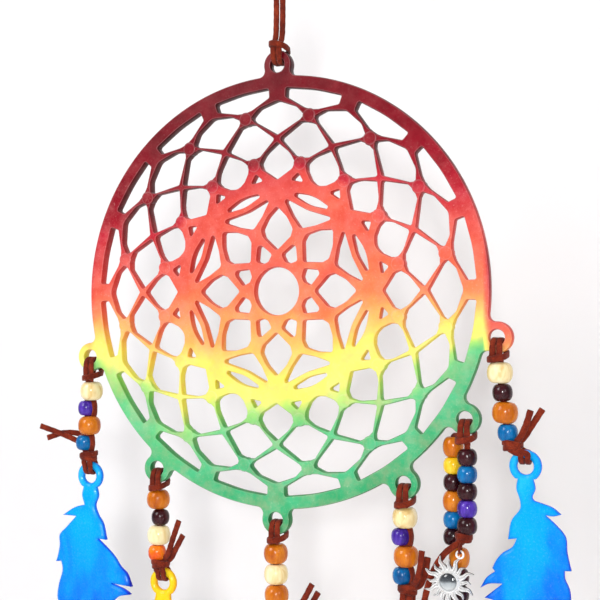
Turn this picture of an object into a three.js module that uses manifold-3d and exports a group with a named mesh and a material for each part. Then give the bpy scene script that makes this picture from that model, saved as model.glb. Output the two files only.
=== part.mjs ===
// Dream catcher: a cast resin mandala disc that hangs on a suede cord, with six strands of
// suede lace, wooden beads, resin feathers and a metal sun charm hanging from ears on its rim.
// Millimetres, +Z up, the disc in the XZ plane with its front face towards -Y.
// The origin is the inner top of the hanging loop.

import * as THREE from 'three';
import { mergeVertices } from 'three/addons/utils/BufferGeometryUtils.js';
import Module from 'manifold-3d';

const wasm = await Module();
wasm.setup();

// ---------------------------------------------------------------- driving dimensions

const DISC_DROP = 152; // from the hanging point down to the middle of the disc
const DISC_RADIUS = 89.75;
const DISC_THICKNESS = 5;
const RING_HOLE_RADIUS = 9.6; // round hole in the middle of the mandala
const RING_HOLE_SIDES = 28;
const SMALL_HOLE_SIDES = 12; // for the holes of ears, eyelets and rings
const ARC_STEPS = 12; // along the outside of an ear or eyelet
const RIM_STEP = 4; // degrees between two points of the rim

const EAR_CENTRE_RADIUS = 94.2; // distance of an ear's hole from the middle of the disc
const EAR_RADIUS = 6.2;
const EAR_HOLE_RADIUS = 3.05;
const EAR_BAR = (EAR_RADIUS + EAR_HOLE_RADIUS) / 2; // hole centre to the middle of the ear's bar
// direction of each ear from the middle of the disc, in degrees clockwise from the top
const TOP_EAR = 0;
const STRAND_EARS = [-107.5, -143.6, 180, 144.3, 122.2, 101.3];

const LACE_STEM_RADIUS = 0.8;
const LACE_TAIL_RADIUS = 1.1;
const LACE_WIDTH = 2.8;
const EYELET_LACE_WIDTH = 2.4; // a lace is squeezed a little where it runs through an eyelet
const LACE_THICKNESS = 1;
const LACE_SIDES = 8;
const BAND_SIDES = 12;
const EAR_LOOP_RADIUS = 3.55; // inside radius of the lace's loop round an ear's bar
const EYELET_LOOP_RADIUS = 2.6; // and round the bar of a feather's eyelet

const BEADS = {
  big: { radius: 5, height: 8.2, bore: 2.3 },
  middle: { radius: 4.1, height: 7.9, bore: 1.9 },
  small: { radius: 3.9, height: 6.5, bore: 2 },
};
const BEAD_SIDES = 8;
const KNOT_SIDES = 8;
const BEAD_GAP = 0.3;

const FEATHER_THICKNESS = 2.5;
const EYELET_RADIUS = 6.2;
const EYELET_HOLE_RADIUS = 3.2;
const EYELET_BAR = (EYELET_RADIUS + EYELET_HOLE_RADIUS) / 2;

const CHARM_THICKNESS = 1.6;
const CHARM_STONE_RADIUS = 3.3;
const CHARM_BEZEL_RADIUS = 4.2;
const CHARM_LONG_RAY = 10.3;
const CHARM_SHORT_RAY = 8.5;
const CHARM_RAYS = 16;
const CHARM_BAIL_REACH = 11.6; // middle of the charm to the middle of its hanging ring
const CHARM_BAIL_RADIUS = 1.8;
const CHARM_BAIL_HOLE = 1;
// the hanging ring stands a little in front of the plate's middle, over the charm's weight
const CHARM_BAIL_FRONT = 0.25;
const CHARM_BAIL_THICKNESS = 0.8;
const CHARM_VALLEY_RADIUS = 4.9; // where two rays meet
const CHARM_BEZEL_HEIGHT = 1.2;
const CHARM_STONE_PLAY = 0.25; // between the stone and its bezel
const CHARM_STONE_HEIGHT = 2.2;

const COLOURS = {
  orange: 0xd9861f,
  cream: 0xf6e3b4,
  purple: 0x4b2a93,
  blue: 0x0b6fb5,
  dark: 0x3c0f16,
  yellow: 0xf2c21c,
  red: 0xf0661a,
  lace: 0x7a2a18,
};

// ---------------------------------------------------------------- materials

function material(name, colour, roughness, metalness = 0) {
  const made = new THREE.MeshStandardMaterial({ color: colour, roughness, metalness });
  made.name = name;
  return made;
}

const discMaterial = material('resin_disc', 0xe8603c, 0.35);
const laceMaterial = material('suede', COLOURS.lace, 0.9);
const silverMaterial = material('silver', 0xc9ccd0, 0.3, 1);
const stoneMaterial = material('clear_stone', 0xe8eef2, 0.1);
const featherMaterials = {
  blue: material('resin_feather_blue', 0x1a9bf0, 0.3),
  yellow: material('resin_feather_yellow', 0xf3cf1f, 0.3),
  coral: material('resin_feather_coral', 0xe8503c, 0.3),
};

// ---------------------------------------------------------------- small geometry helpers

const radians = THREE.MathUtils.degToRad;

// A point at a distance from the middle, in a direction clockwise from the top.
function polar(radius, degrees) {
  const a = radians(degrees);
  return new THREE.Vector2(radius * Math.sin(a), radius * Math.cos(a));
}

// Cuts the corners of a closed outline of {point, fillet}; a fillet of 0 leaves its corner sharp.
function rounded(corners) {
  return corners.flatMap(({ point, fillet }, i) => {
    if (fillet === 0) {
      return [point];
    }
    const toBefore = corners.at(i - 1).point.clone().sub(point);
    const toAfter = corners[(i + 1) % corners.length].point.clone().sub(point);
    const halfAngle = toBefore.angleTo(toAfter) / 2;
    const longest = 0.45 * Math.min(toBefore.length(), toAfter.length());
    const cut = Math.min(fillet / Math.tan(halfAngle), longest);
    return [toBefore, toAfter].map((side) => point.clone().addScaledVector(side.normalize(), cut));
  });
}

function circlePoints(centre, radius, count) {
  const points = [];
  for (let i = 0; i < count; i += 1) {
    points.push(polar(radius, (360 * i) / count).add(centre));
  }
  return points;
}

// A flat region with holes. Its outline has to run anticlockwise for its holes to be turned.
function region(outline, holes) {
  const clockwise = THREE.ShapeUtils.isClockWise(outline);
  const shape = new THREE.Shape(clockwise ? [...outline].reverse() : outline);
  shape.holes = holes.map((hole) => new THREE.Path(hole));
  return shape;
}

// A plate drawn in X and Z, with its thickness centred on y = 0.
function plate(outline, holes, thickness) {
  const shape = region(outline, holes);
  const geometry = new THREE.ExtrudeGeometry(shape, { depth: thickness, bevelEnabled: false });
  geometry.rotateX(Math.PI / 2);
  geometry.translate(0, thickness / 2, 0);
  return geometry;
}

function tube(points, radius, steps) {
  const section = new THREE.Shape(circlePoints(new THREE.Vector2(), radius, LACE_SIDES));
  const path = new THREE.CatmullRomCurve3(points.map((p) => new THREE.Vector3(...p)));
  return new THREE.ExtrudeGeometry(section, { extrudePath: path, steps, bevelEnabled: false });
}

// A flat band bent into a ring about an axis along X, as a lace lies round a bar.
function band(innerRadius, width, thickness) {
  const centre = new THREE.Vector2();
  const outline = circlePoints(centre, innerRadius + thickness, BAND_SIDES);
  const shape = region(outline, [circlePoints(centre, innerRadius, BAND_SIDES)]);
  const geometry = new THREE.ExtrudeGeometry(shape, { depth: width, bevelEnabled: false });
  geometry.rotateY(Math.PI / 2);
  geometry.translate(-width / 2, 0, 0);
  return geometry;
}

// A rounded lump turned about Z, for a knot.
function lump(radius, height) {
  const profile = [
    [0, -0.5],
    [0.65, -0.5],
    [1, -0.2],
    [1, 0.2],
    [0.65, 0.5],
    [0, 0.5],
  ].map(([r, z]) => new THREE.Vector2(r * radius, z * height));
  const geometry = new THREE.LatheGeometry(profile, KNOT_SIDES);
  geometry.rotateX(Math.PI / 2);
  return geometry;
}

function toSolid(geometry) {
  const bare = geometry.clone();
  bare.deleteAttribute('normal');
  bare.deleteAttribute('uv');
  const merged = mergeVertices(bare, 1e-3);
  const index = merged.index.array;
  const corners = [];
  for (let i = 0; i < index.length; i += 3) {
    const [a, b, c] = [index[i], index[i + 1], index[i + 2]];
    if (a !== b && b !== c && c !== a) {
      corners.push(a, b, c);
    }
  }
  const vertProperties = merged.attributes.position.array;
  return new wasm.Manifold(
    new wasm.Mesh({ numProp: 3, vertProperties, triVerts: new Uint32Array(corners) }),
  );
}

function fromSolid(solid) {
  const mesh = solid.getMesh();
  const geometry = new THREE.BufferGeometry();
  geometry.setAttribute('position', new THREE.BufferAttribute(mesh.vertProperties, 3));
  geometry.setIndex(new THREE.BufferAttribute(mesh.triVerts, 1));
  geometry.computeVertexNormals();
  return geometry;
}

function joinSolids(geometries) {
  return geometries.map(toSolid).reduce((a, b) => a.add(b));
}

function join(geometries) {
  return fromSolid(joinSolids(geometries));
}

function at(geometry, x, y, z) {
  return geometry.translate(x, y, z);
}

const catcher = new THREE.Group();
const hung = new THREE.Group(); // everything is drawn about the middle of the disc
hung.position.z = -DISC_DROP;
catcher.add(hung);

function addPiece(name, geometry, pieceMaterial, x = 0, y = 0, z = 0) {
  const mesh = new THREE.Mesh(geometry, pieceMaterial);
  mesh.name = name;
  mesh.position.set(x, y, z);
  hung.add(mesh);
}

// ---------------------------------------------------------------- the mandala disc

// Each kind of hole repeats round the disc. Its half outline runs from the corner furthest
// from the middle to the nearest one, as [radius, degrees from the hole's axis, fillet].
const HOLES = [
  { count: 8, first: 22.5, half: [[21, 0, 0], [15.3, 12.2, 0], [13.2, 4.2, 0]] },
  {
    count: 8,
    first: 0,
    half: [[34.8, 0, 0], [30.6, 7.9, 0], [26.4, 14.7, 1.2], [23.6, 14.3, 1.2], [17.4, 0, 0]],
  },
  {
    count: 8,
    first: 22.5,
    half: [[35.2, 0, 0], [37.6, 16.2, 0], [32.3, 9.8, 0], [28.2, 0, 1.4]],
  },
  { count: 8, first: 22.5, half: [[41.5, 0, 0], [41.3, 6, 0], [40.6, 11.5, 0], [38.5, 0, 0]] },
  {
    count: 8,
    first: 0,
    half: [[62, 0, 0], [57.4, 5.9, 0], [53.9, 8.5, 1.2], [51.2, 7.8, 1.2], [46.3, 0, 0]],
  },
  {
    count: 8,
    first: 22.5,
    half: [
      [62.2, 0, 0], [57, 6.4, 0], [53.9, 8.5, 1.2], [51.2, 7.6, 0], [48.1, 4.6, 0], [46.3, 0, 0],
    ],
  },
  {
    count: 16,
    first: 11.25,
    half: [[71, 0, 0], [70.2, 2.7, 0], [63.4, 10.2, 0], [56.8, 3.6, 0], [56, 0, 0]],
  },
  {
    count: 16,
    first: 0,
    half: [[79.4, 0, 0], [78.8, 3, 0], [76.8, 6.5, 0], [73.6, 9.3, 0], [72, 8.4, 0], [65.1, 0, 0]],
  },
  {
    count: 16,
    first: 11.25,
    half: [[84.6, 0, 0], [84.6, 4.5, 0], [84.5, 8.7, 0], [80.9, 8.7, 0], [77, 2.7, 0], [76.3, 0, 0]],
  },
];
// A small three-cornered hole lies on each side of every large star point.
const SMALL_HOLE = [[46.5, 7.6, 0], [49.8, 11, 0], [46.2, 15, 0]];
const STAR_POINTS = 8;

function holeOutline(half, axis) {
  const mirrored = half.filter(([, degrees]) => degrees > 0).reverse();
  const whole = [
    ...half.map(([radius, degrees, fillet]) => [radius, axis + degrees, fillet]),
    ...mirrored.map(([radius, degrees, fillet]) => [radius, axis - degrees, fillet]),
  ];
  return rounded(whole.map(([r, a, fillet]) => ({ point: polar(r, a), fillet })));
}

function discHoles() {
  const outlines = [circlePoints(new THREE.Vector2(), RING_HOLE_RADIUS, RING_HOLE_SIDES)];
  for (const { count, first, half } of HOLES) {
    for (let i = 0; i < count; i += 1) {
      outlines.push(holeOutline(half, first + (360 * i) / count));
    }
  }
  for (let i = 0; i < STAR_POINTS; i += 1) {
    const axis = (360 * i) / STAR_POINTS;
    for (const side of [1, -1]) {
      outlines.push(
        rounded(SMALL_HOLE.map(([r, a, fillet]) => ({ point: polar(r, axis + side * a), fillet }))),
      );
    }
  }
  return outlines;
}

// The rim's circle, broken by the arc of each ear where the ear stands out of it.
function rimOutline(ears) {
  const reach = (DISC_RADIUS ** 2 + EAR_CENTRE_RADIUS ** 2 - EAR_RADIUS ** 2)
    / (2 * DISC_RADIUS * EAR_CENTRE_RADIUS);
  const halfGap = THREE.MathUtils.radToDeg(Math.acos(reach));
  const points = [];
  const sorted = [...ears].map((a) => (a + 360) % 360).sort((a, b) => a - b);
  sorted.forEach((ear, i) => {
    const next = i + 1 < sorted.length ? sorted[i + 1] : sorted[0] + 360;
    const centre = polar(EAR_CENTRE_RADIUS, ear);
    const meets = polar(DISC_RADIUS, ear + halfGap).sub(centre);
    const sweep = THREE.MathUtils.radToDeg(Math.atan2(meets.x, meets.y)) - ear;
    const half = ((sweep % 360) + 360) % 360;
    for (let k = 1; k < ARC_STEPS; k += 1) {
      points.push(polar(EAR_RADIUS, ear - half + (2 * half * k) / ARC_STEPS).add(centre));
    }
    const from = ear + halfGap;
    const to = next - halfGap;
    const steps = Math.ceil((to - from) / RIM_STEP);
    for (let k = 0; k <= steps; k += 1) {
      points.push(polar(DISC_RADIUS, from + ((to - from) * k) / steps));
    }
  });
  return points;
}

function discGeometry() {
  const ears = [TOP_EAR, ...STRAND_EARS];
  const earHoles = ears.map((a) => (
    circlePoints(polar(EAR_CENTRE_RADIUS, a), EAR_HOLE_RADIUS, SMALL_HOLE_SIDES)
  ));
  const cutters = [...discHoles(), ...earHoles].map((hole) => plate(hole, [], 2 * DISC_THICKNESS));
  const blank = toSolid(plate(rimOutline(ears), [], DISC_THICKNESS));
  return fromSolid(blank.subtract(joinSolids(cutters)));
}

addPiece('mandala_disc', discGeometry(), discMaterial);

// ---------------------------------------------------------------- the hanging cord

const TOP_BAR_Z = EAR_CENTRE_RADIUS + EAR_BAR;
const CORD_STEM_RADIUS = 1.5;
const CORD_KNOT = { z: 130, radius: 4, height: 7 };
const CORD_LOOP_WIDTH = 11;
const CORD_LOOP_RADIUS = 1;

// The cord loops round the top ear's bar, rises to a knot and ends in the open hanging loop.
function hangingCordGeometry() {
  const stemFoot = TOP_BAR_Z + EAR_LOOP_RADIUS + 0.4;
  const loopTop = DISC_DROP + CORD_LOOP_RADIUS;
  const w = CORD_LOOP_WIDTH / 2;
  const loop = [
    [-0.8, 0, CORD_KNOT.z],
    [-w * 0.75, 0, CORD_KNOT.z + 8],
    [-w, 0, CORD_KNOT.z + 15],
    [-w * 0.7, 0, loopTop - 1.8],
    [0, 0, loopTop],
    [w * 0.7, 0, loopTop - 1.8],
    [w, 0, CORD_KNOT.z + 15],
    [w * 0.75, 0, CORD_KNOT.z + 8],
    [0.8, 0, CORD_KNOT.z],
  ];
  return join([
    at(band(EAR_LOOP_RADIUS, LACE_WIDTH, LACE_THICKNESS), 0, 0, TOP_BAR_Z),
    tube([[0, 0, stemFoot], [0, 0, 115], [0, 0, CORD_KNOT.z]], CORD_STEM_RADIUS, 3),
    at(lump(CORD_KNOT.radius, CORD_KNOT.height), 0, 0, CORD_KNOT.z),
    tube(loop, CORD_LOOP_RADIUS, 20),
  ]);
}

addPiece('hanging_cord', hangingCordGeometry(), laceMaterial);

// ---------------------------------------------------------------- beads

function beadGeometry({ radius, height, bore }) {
  const half = height / 2;
  const profile = [
    [bore, -half],
    [0.68 * radius, -half],
    [radius, -0.2 * height],
    [radius, 0.2 * height],
    [0.68 * radius, half],
    [bore, half],
    [bore, -half],
  ].map(([r, z]) => new THREE.Vector2(r, z));
  const geometry = new THREE.LatheGeometry(profile, BEAD_SIDES);
  geometry.rotateX(Math.PI / 2);
  return geometry;
}

const beadGeometries = Object.fromEntries(
  Object.entries(BEADS).map(([size, spec]) => [size, beadGeometry(spec)]),
);
const beadMaterials = Object.fromEntries(
  Object.entries(COLOURS).map(([name, colour]) => [name, material(`bead_${name}`, colour, 0.25)]),
);

// ---------------------------------------------------------------- feathers

// Both outlines run clockwise from the right of the eyelet, as [x, z] from the eyelet's hole.
// The long feather: a pinched neck, then barbs that split along both edges.
const LONG_FEATHER = [
  [3.3, -4.9], [4.1, -8.6], [2.7, -12.8], [4.2, -17], [6.6, -20.5], [8.4, -27.6], [4, -27.4],
  [8.6, -31], [12.6, -34.6], [15.8, -38.8], [19, -41.5], [21.4, -47], [10.9, -46.3], [18.2, -48.6],
  [20.9, -50.4], [14.6, -52], [11.6, -54.6], [15.4, -60.5], [12, -60.8], [13.6, -68], [8.2, -76],
  [3.4, -82.6], [-0.8, -86.5], [-3, -80.5], [-8.6, -76.6], [-7.2, -72.4], [-13.4, -66.4],
  [-12.2, -62], [-16.4, -55.5], [-16, -49.5], [-14, -42.2], [-14.7, -38.6], [-17.2, -38.9],
  [-15.6, -31.5], [-15.7, -27], [-12.3, -23.4], [-7.2, -18.2], [-13.9, -18], [-7.8, -14.2],
  [-2.8, -12.8], [-4.1, -8.6], [-3.3, -4.9],
];
// The short-necked feather: its first barb sweeps out straight under the eyelet.
const BROAD_FEATHER = [
  [3.4, -4.9], [4, -9], [8.5, -12.2], [13.5, -15], [9.5, -16.2], [14.2, -22.5], [17.5, -30.5],
  [14.4, -30.2], [17.6, -38], [18, -46], [14.4, -44], [15.2, -52], [11, -62], [8, -60.5],
  [4.5, -70], [-1, -78], [-4.5, -71], [-9.5, -66], [-8.6, -61.5], [-14, -55.5], [-12.8, -51],
  [-17, -43.5], [-14.9, -39.5], [-17.2, -31], [-15.2, -24.5], [-16.4, -18.5], [-12.6, -14.4],
  [-16, -9.8], [-9, -10.4], [-4.6, -8.6], [-3.4, -4.9],
];

// width is a share of the outline's own width, and is negative to turn the feather over.
function featherGeometry(outline, width) {
  const edge = outline.map(([x, z]) => new THREE.Vector2(x, z));
  const start = Math.atan2(edge[0].x, edge[0].y);
  const arc = [];
  for (let k = 1; k < ARC_STEPS; k += 1) {
    const a = start - (2 * start * k) / ARC_STEPS;
    arc.push(new THREE.Vector2(EYELET_RADIUS * Math.sin(a), EYELET_RADIUS * Math.cos(a)));
  }
  const whole = [...edge, ...arc.reverse()];
  const flipped = whole.map((p) => {
    const share = p.y > -EYELET_RADIUS ? Math.sign(width) : width;
    return new THREE.Vector2(share * p.x, p.y);
  });
  const hole = circlePoints(new THREE.Vector2(), EYELET_HOLE_RADIUS, SMALL_HOLE_SIDES);
  return plate(flipped, [hole], FEATHER_THICKNESS);
}

// ---------------------------------------------------------------- strands

// Each strand leans from one shift off its ear's line to another. Its beads, from the top, are
// [size, colour, shift off the strand]; a bead well off the strand has one of the two laces
// through it and the other outside.
const STRANDS = [
  {
    beads: [
      ['big', 'cream', 0], ['small', 'purple', -1.9], ['big', 'orange', 0], ['small', 'blue', -1.9],
    ],
    lean: [-0.5, -2],
    firstTop: -39.4,
    stemShift: -0.95,
    knot: { x: -91.6, z: -72.4, height: 3 },
    hole: [-90.6, -81],
    feather: { outline: LONG_FEATHER, width: 1, colour: 'blue' },
    tail: [[-98.5, -72.4], [-107, -68], [-114.5, -62]],
  },
  {
    beads: [
      ['big', 'orange', -0.4], ['small', 'dark', 0.7], ['big', 'cream', 0], ['small', 'red', -0.8],
    ],
    lean: [0, 0],
    firstTop: -85.15,
    stemShift: 0,
    knot: { x: -55, z: -116.85, height: 2.2 },
    hole: [-53.6, -124.7],
    feather: { outline: BROAD_FEATHER, width: 1, colour: 'yellow' },
    tail: [[-49, -115], [-45.5, -108], [-44.3, -99]],
  },
  {
    beads: [['big', 'orange', 0], ['big', 'cream', 0], ['big', 'orange', 0], ['small', 'dark', 0]],
    lean: [-0.8, -0.2],
    firstTop: -104.2,
    stemShift: 0,
    knot: { x: 0, z: -138.2, height: 3 },
    hole: [0, -150],
    feather: { outline: LONG_FEATHER, width: 1, colour: 'coral' },
    tail: [[9, -135.5], [14, -128], [17.2, -120.5]],
  },
  {
    beads: [
      ['big', 'cream', 0], ['small', 'purple', -1.9], ['big', 'orange', 0], ['small', 'blue', -1.9],
    ],
    lean: [0, 0.8],
    firstTop: -85.8,
    stemShift: -0.95,
    knot: { x: 56.2, z: -118, height: 3 },
    hole: [55.6, -136.5],
    feather: { outline: BROAD_FEATHER, width: -1, colour: 'yellow' },
    tail: [[61.5, -116.5], [63.6, -110], [63.9, -103]],
  },
  null, // the double strand is built on its own below
  {
    beads: [['big', 'cream', 0], ['small', 'dark', 0], ['big', 'orange', 0], ['small', 'blue', 0]],
    lean: [0.7, 3.7],
    firstTop: -27.9,
    stemShift: 0,
    knot: { x: 98, z: -59.75, height: 2.3 },
    hole: [102.9, -67.4],
    feather: { outline: LONG_FEATHER, width: -0.82, colour: 'blue' },
    tail: [[103.2, -57.8], [107, -52], [108.6, -46.5]],
  },
];
const KNOT_RADIUS = 3.6;
const STEM_STEPS = 16;
const TAIL_STEPS = 6;
const STEM_START = 0.9; // how far off the middle of its loop a stem may start
const TAIL_FRONT = -1.5; // a tail comes out of its knot a little towards the front

function addStrand(number, ear, strand) {
  const { beads, lean, stemShift, knot, tail, feather } = strand;
  const barX = ear.x;
  const barZ = ear.y - EAR_BAR;
  const start = THREE.MathUtils.clamp(lean[0] + stemShift, -STEM_START, STEM_START);
  const stem = [[barX + start, 0, barZ - EAR_LOOP_RADIUS - LACE_THICKNESS / 2]];
  let top = strand.firstTop;
  beads.forEach(([size, colour, shift], i) => {
    const { height } = BEADS[size];
    const z = top - height / 2;
    const x = barX + THREE.MathUtils.lerp(...lean, i / (beads.length - 1));
    addPiece(`bead_${number}_${i + 1}`, beadGeometries[size], beadMaterials[colour], x + shift, 0, z);
    if (i === 0) {
      stem.push([x + stemShift, 0, top]);
    }
    stem.push([x + stemShift, 0, z]);
    top -= height + BEAD_GAP;
    if (i === beads.length - 1) {
      stem.push([x + stemShift, 0, top]);
    }
  });
  const [holeX, holeZ] = strand.hole;
  const eyeletZ = holeZ + EYELET_BAR;
  stem.push([knot.x, 0, knot.z]);
  stem.push([holeX, 0, eyeletZ + EYELET_LOOP_RADIUS + LACE_THICKNESS / 2]);
  const tailPoints = tail.map(([x, z]) => [x, TAIL_FRONT, z]);
  const lace = join([
    at(band(EAR_LOOP_RADIUS, LACE_WIDTH, LACE_THICKNESS), barX, 0, barZ),
    tube(stem, LACE_STEM_RADIUS, STEM_STEPS),
    at(lump(KNOT_RADIUS, knot.height), knot.x, 0, knot.z),
    at(band(EYELET_LOOP_RADIUS, EYELET_LACE_WIDTH, LACE_THICKNESS), holeX, 0, eyeletZ),
    tube([[knot.x, 0, knot.z], ...tailPoints], LACE_TAIL_RADIUS, TAIL_STEPS),
  ]);
  addPiece(`lace_${number}`, lace, laceMaterial);
  const shape = featherGeometry(feather.outline, feather.width);
  addPiece(`feather_${number}`, shape, featherMaterials[feather.colour], holeX, 0, holeZ);
}

STRANDS.forEach((strand, i) => {
  if (strand) {
    addStrand(i + 1, polar(EAR_CENTRE_RADIUS, STRAND_EARS[i]), strand);
  }
});

// ---------------------------------------------------------------- the double strand

const RIGHT_COLUMN = { x: 80.7, y: -2, top: -61.6 };
const LEFT_COLUMN = { x: 73.9, y: 2.5, top: -57.5 };
const JOINED_COLUMN = { x: 77, y: 0, top: -100.2 };
const RIGHT_BEADS = [['small', 'dark'], ['small', 'blue'], ['small', 'dark'], ['small', 'purple'],
  ['small', 'dark']];
const LEFT_BEADS = [['middle', 'orange'], ['small', 'yellow'], ['small', 'dark'], ['middle', 'orange'],
  ['small', 'blue'], ['small', 'dark']];
const JOINED_BEADS = [['middle', 'orange'], ['small', 'dark'], ['small', 'dark']];
const DOUBLE_GAP = 0.1;

function addColumn(prefix, column, beads) {
  let top = column.top;
  const route = [];
  beads.forEach(([size, colour], i) => {
    const { height } = BEADS[size];
    const z = top - height / 2;
    const name = `bead_5_${prefix}${i + 1}`;
    addPiece(name, beadGeometries[size], beadMaterials[colour], column.x, column.y, z);
    route.push([column.x, column.y, z]);
    top -= height + DOUBLE_GAP;
  });
  return { route, bottom: top };
}

const CHARM = { x: 74.6, y: -6.2, z: -112.4 };
const BAIL_ANGLE = 22.5;
const bail = polar(CHARM_BAIL_REACH, BAIL_ANGLE);
const BAIL_BAR_Z = CHARM.z + bail.y + (CHARM_BAIL_RADIUS + CHARM_BAIL_HOLE) / 2;
const BAIL_X = CHARM.x + bail.x;
const BAIL_Y = CHARM.y - CHARM_BAIL_FRONT;
const SPLIT_KNOT = { at: [79.9, -2, -96.5], radius: 2.8, height: 3 };
const END_KNOT = { at: [77, 0, -124], radius: 3.4, height: 3.4 };
const CHARM_LACE = { radius: 0.7, loopRadius: 1, loopWidth: 1, thickness: 0.6 };
const LEFT_LACE_TOP = 0.4; // how far the left column's lace stands out of its first bead

const doubleEar = polar(EAR_CENTRE_RADIUS, STRAND_EARS[4]);
const doubleBarZ = doubleEar.y - EAR_BAR;
const right = addColumn('right_', RIGHT_COLUMN, RIGHT_BEADS);
const left = addColumn('left_', LEFT_COLUMN, LEFT_BEADS);
const joined = addColumn('lower_', JOINED_COLUMN, JOINED_BEADS);

const doubleTop = [doubleEar.x, 0, doubleBarZ - EAR_LOOP_RADIUS - LACE_THICKNESS / 2];
const rightStem = [doubleTop, [80.5, -1.8, -60.4], ...right.route, SPLIT_KNOT.at];
const joinedStem = [SPLIT_KNOT.at, [77.7, -0.5, -99.4], [77, 0, -101.5], ...joined.route, END_KNOT.at];
const charmLoopTop = BAIL_BAR_Z + CHARM_LACE.loopRadius + CHARM_LACE.thickness / 2;
const charmStem = [SPLIT_KNOT.at, [BAIL_X, -5, -97.2], [BAIL_X, BAIL_Y, charmLoopTop]];
const doubleLace = join([
  at(band(EAR_LOOP_RADIUS, LACE_WIDTH, LACE_THICKNESS), doubleEar.x, 0, doubleBarZ),
  tube(rightStem, LACE_STEM_RADIUS, 11),
  at(lump(SPLIT_KNOT.radius, SPLIT_KNOT.height), ...SPLIT_KNOT.at),
  tube(joinedStem, LACE_STEM_RADIUS, 10),
  at(lump(END_KNOT.radius, END_KNOT.height), ...END_KNOT.at),
  tube(charmStem, CHARM_LACE.radius, 4),
  at(band(CHARM_LACE.loopRadius, CHARM_LACE.loopWidth, CHARM_LACE.thickness), BAIL_X, BAIL_Y, BAIL_BAR_Z),
]);
addPiece('lace_5', doubleLace, laceMaterial);

// The left column's own lace starts beside the loop round the ear and ends below its last bead.
const leftEnds = [LEFT_COLUMN.top + LEFT_LACE_TOP, left.bottom]
  .map((z) => [LEFT_COLUMN.x, LEFT_COLUMN.y, z]);
const leftLace = tube([leftEnds[0], ...left.route, leftEnds[1]], LACE_STEM_RADIUS, 4);
addPiece('lace_5_left', leftLace, laceMaterial);

// A long tail of the lace runs down to the left behind the charm.
const tailRoute = [
  [72, -3.4, -102.6], [69, -3, -107.5], [65.8, -2.4, -114], [63.9, -2, -121.5], [63.6, -2, -127],
];
const longTail = tube(tailRoute, LACE_TAIL_RADIUS, 7);
addPiece('lace_5_tail', longTail, laceMaterial);

// ---------------------------------------------------------------- the sun charm

// Sixteen tapering rays, long and short by turns, bent a little to one side like flames.
function charmGeometry() {
  const outline = [];
  for (let i = 0; i < CHARM_RAYS; i += 1) {
    const direction = BAIL_ANGLE + (360 * i) / CHARM_RAYS;
    const length = i % 2 === 0 ? CHARM_LONG_RAY : CHARM_SHORT_RAY;
    outline.push(polar(CHARM_VALLEY_RADIUS, direction - 180 / CHARM_RAYS));
    outline.push(polar(0.72 * length, direction - 3.4));
    outline.push(polar(length, direction + 1.5));
    outline.push(polar(0.7 * length, direction + 6.2));
  }
  const star = plate(outline, [], CHARM_THICKNESS);
  const bezelShape = circlePoints(new THREE.Vector2(), CHARM_BEZEL_RADIUS, 20);
  const bezelHole = circlePoints(new THREE.Vector2(), CHARM_STONE_RADIUS + CHARM_STONE_PLAY, 20);
  const bezel = at(plate(bezelShape, [bezelHole], CHARM_BEZEL_HEIGHT), 0, -CHARM_THICKNESS / 2 - 0.5, 0);
  const ringShape = circlePoints(new THREE.Vector2(), CHARM_BAIL_RADIUS, SMALL_HOLE_SIDES);
  const ringHole = circlePoints(new THREE.Vector2(), CHARM_BAIL_HOLE, SMALL_HOLE_SIDES);
  const ringPlate = plate(ringShape, [ringHole], CHARM_BAIL_THICKNESS);
  const ring = at(ringPlate, bail.x, -CHARM_BAIL_FRONT, bail.y);
  return join([star, bezel, ring]);
}

function stoneGeometry() {
  const profile = [[0, 0], [1, 0], [0.92, 0.3], [0.7, 0.55], [0.36, 0.7], [0, 0.75]]
    .map(([r, h]) => new THREE.Vector2(r * CHARM_STONE_RADIUS, h * CHARM_STONE_HEIGHT));
  const geometry = new THREE.LatheGeometry(profile, 16);
  geometry.rotateX(Math.PI);
  return geometry;
}

addPiece('sun_charm', charmGeometry(), silverMaterial, CHARM.x, CHARM.y, CHARM.z);
const stoneY = CHARM.y - CHARM_THICKNESS / 2 - CHARM_STONE_PLAY;
addPiece('charm_stone', stoneGeometry(), stoneMaterial, CHARM.x, stoneY, CHARM.z);

export default catcher;
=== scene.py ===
"""A dream catcher: a cast resin mandala on a suede cord, with strands of lace, beads,
resin feathers and a sun charm hanging from the ears on its rim."""

import math

import bpy
import numpy as np
from mathutils import Matrix, Vector
from mathutils.geometry import delaunay_2d_cdt


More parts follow.
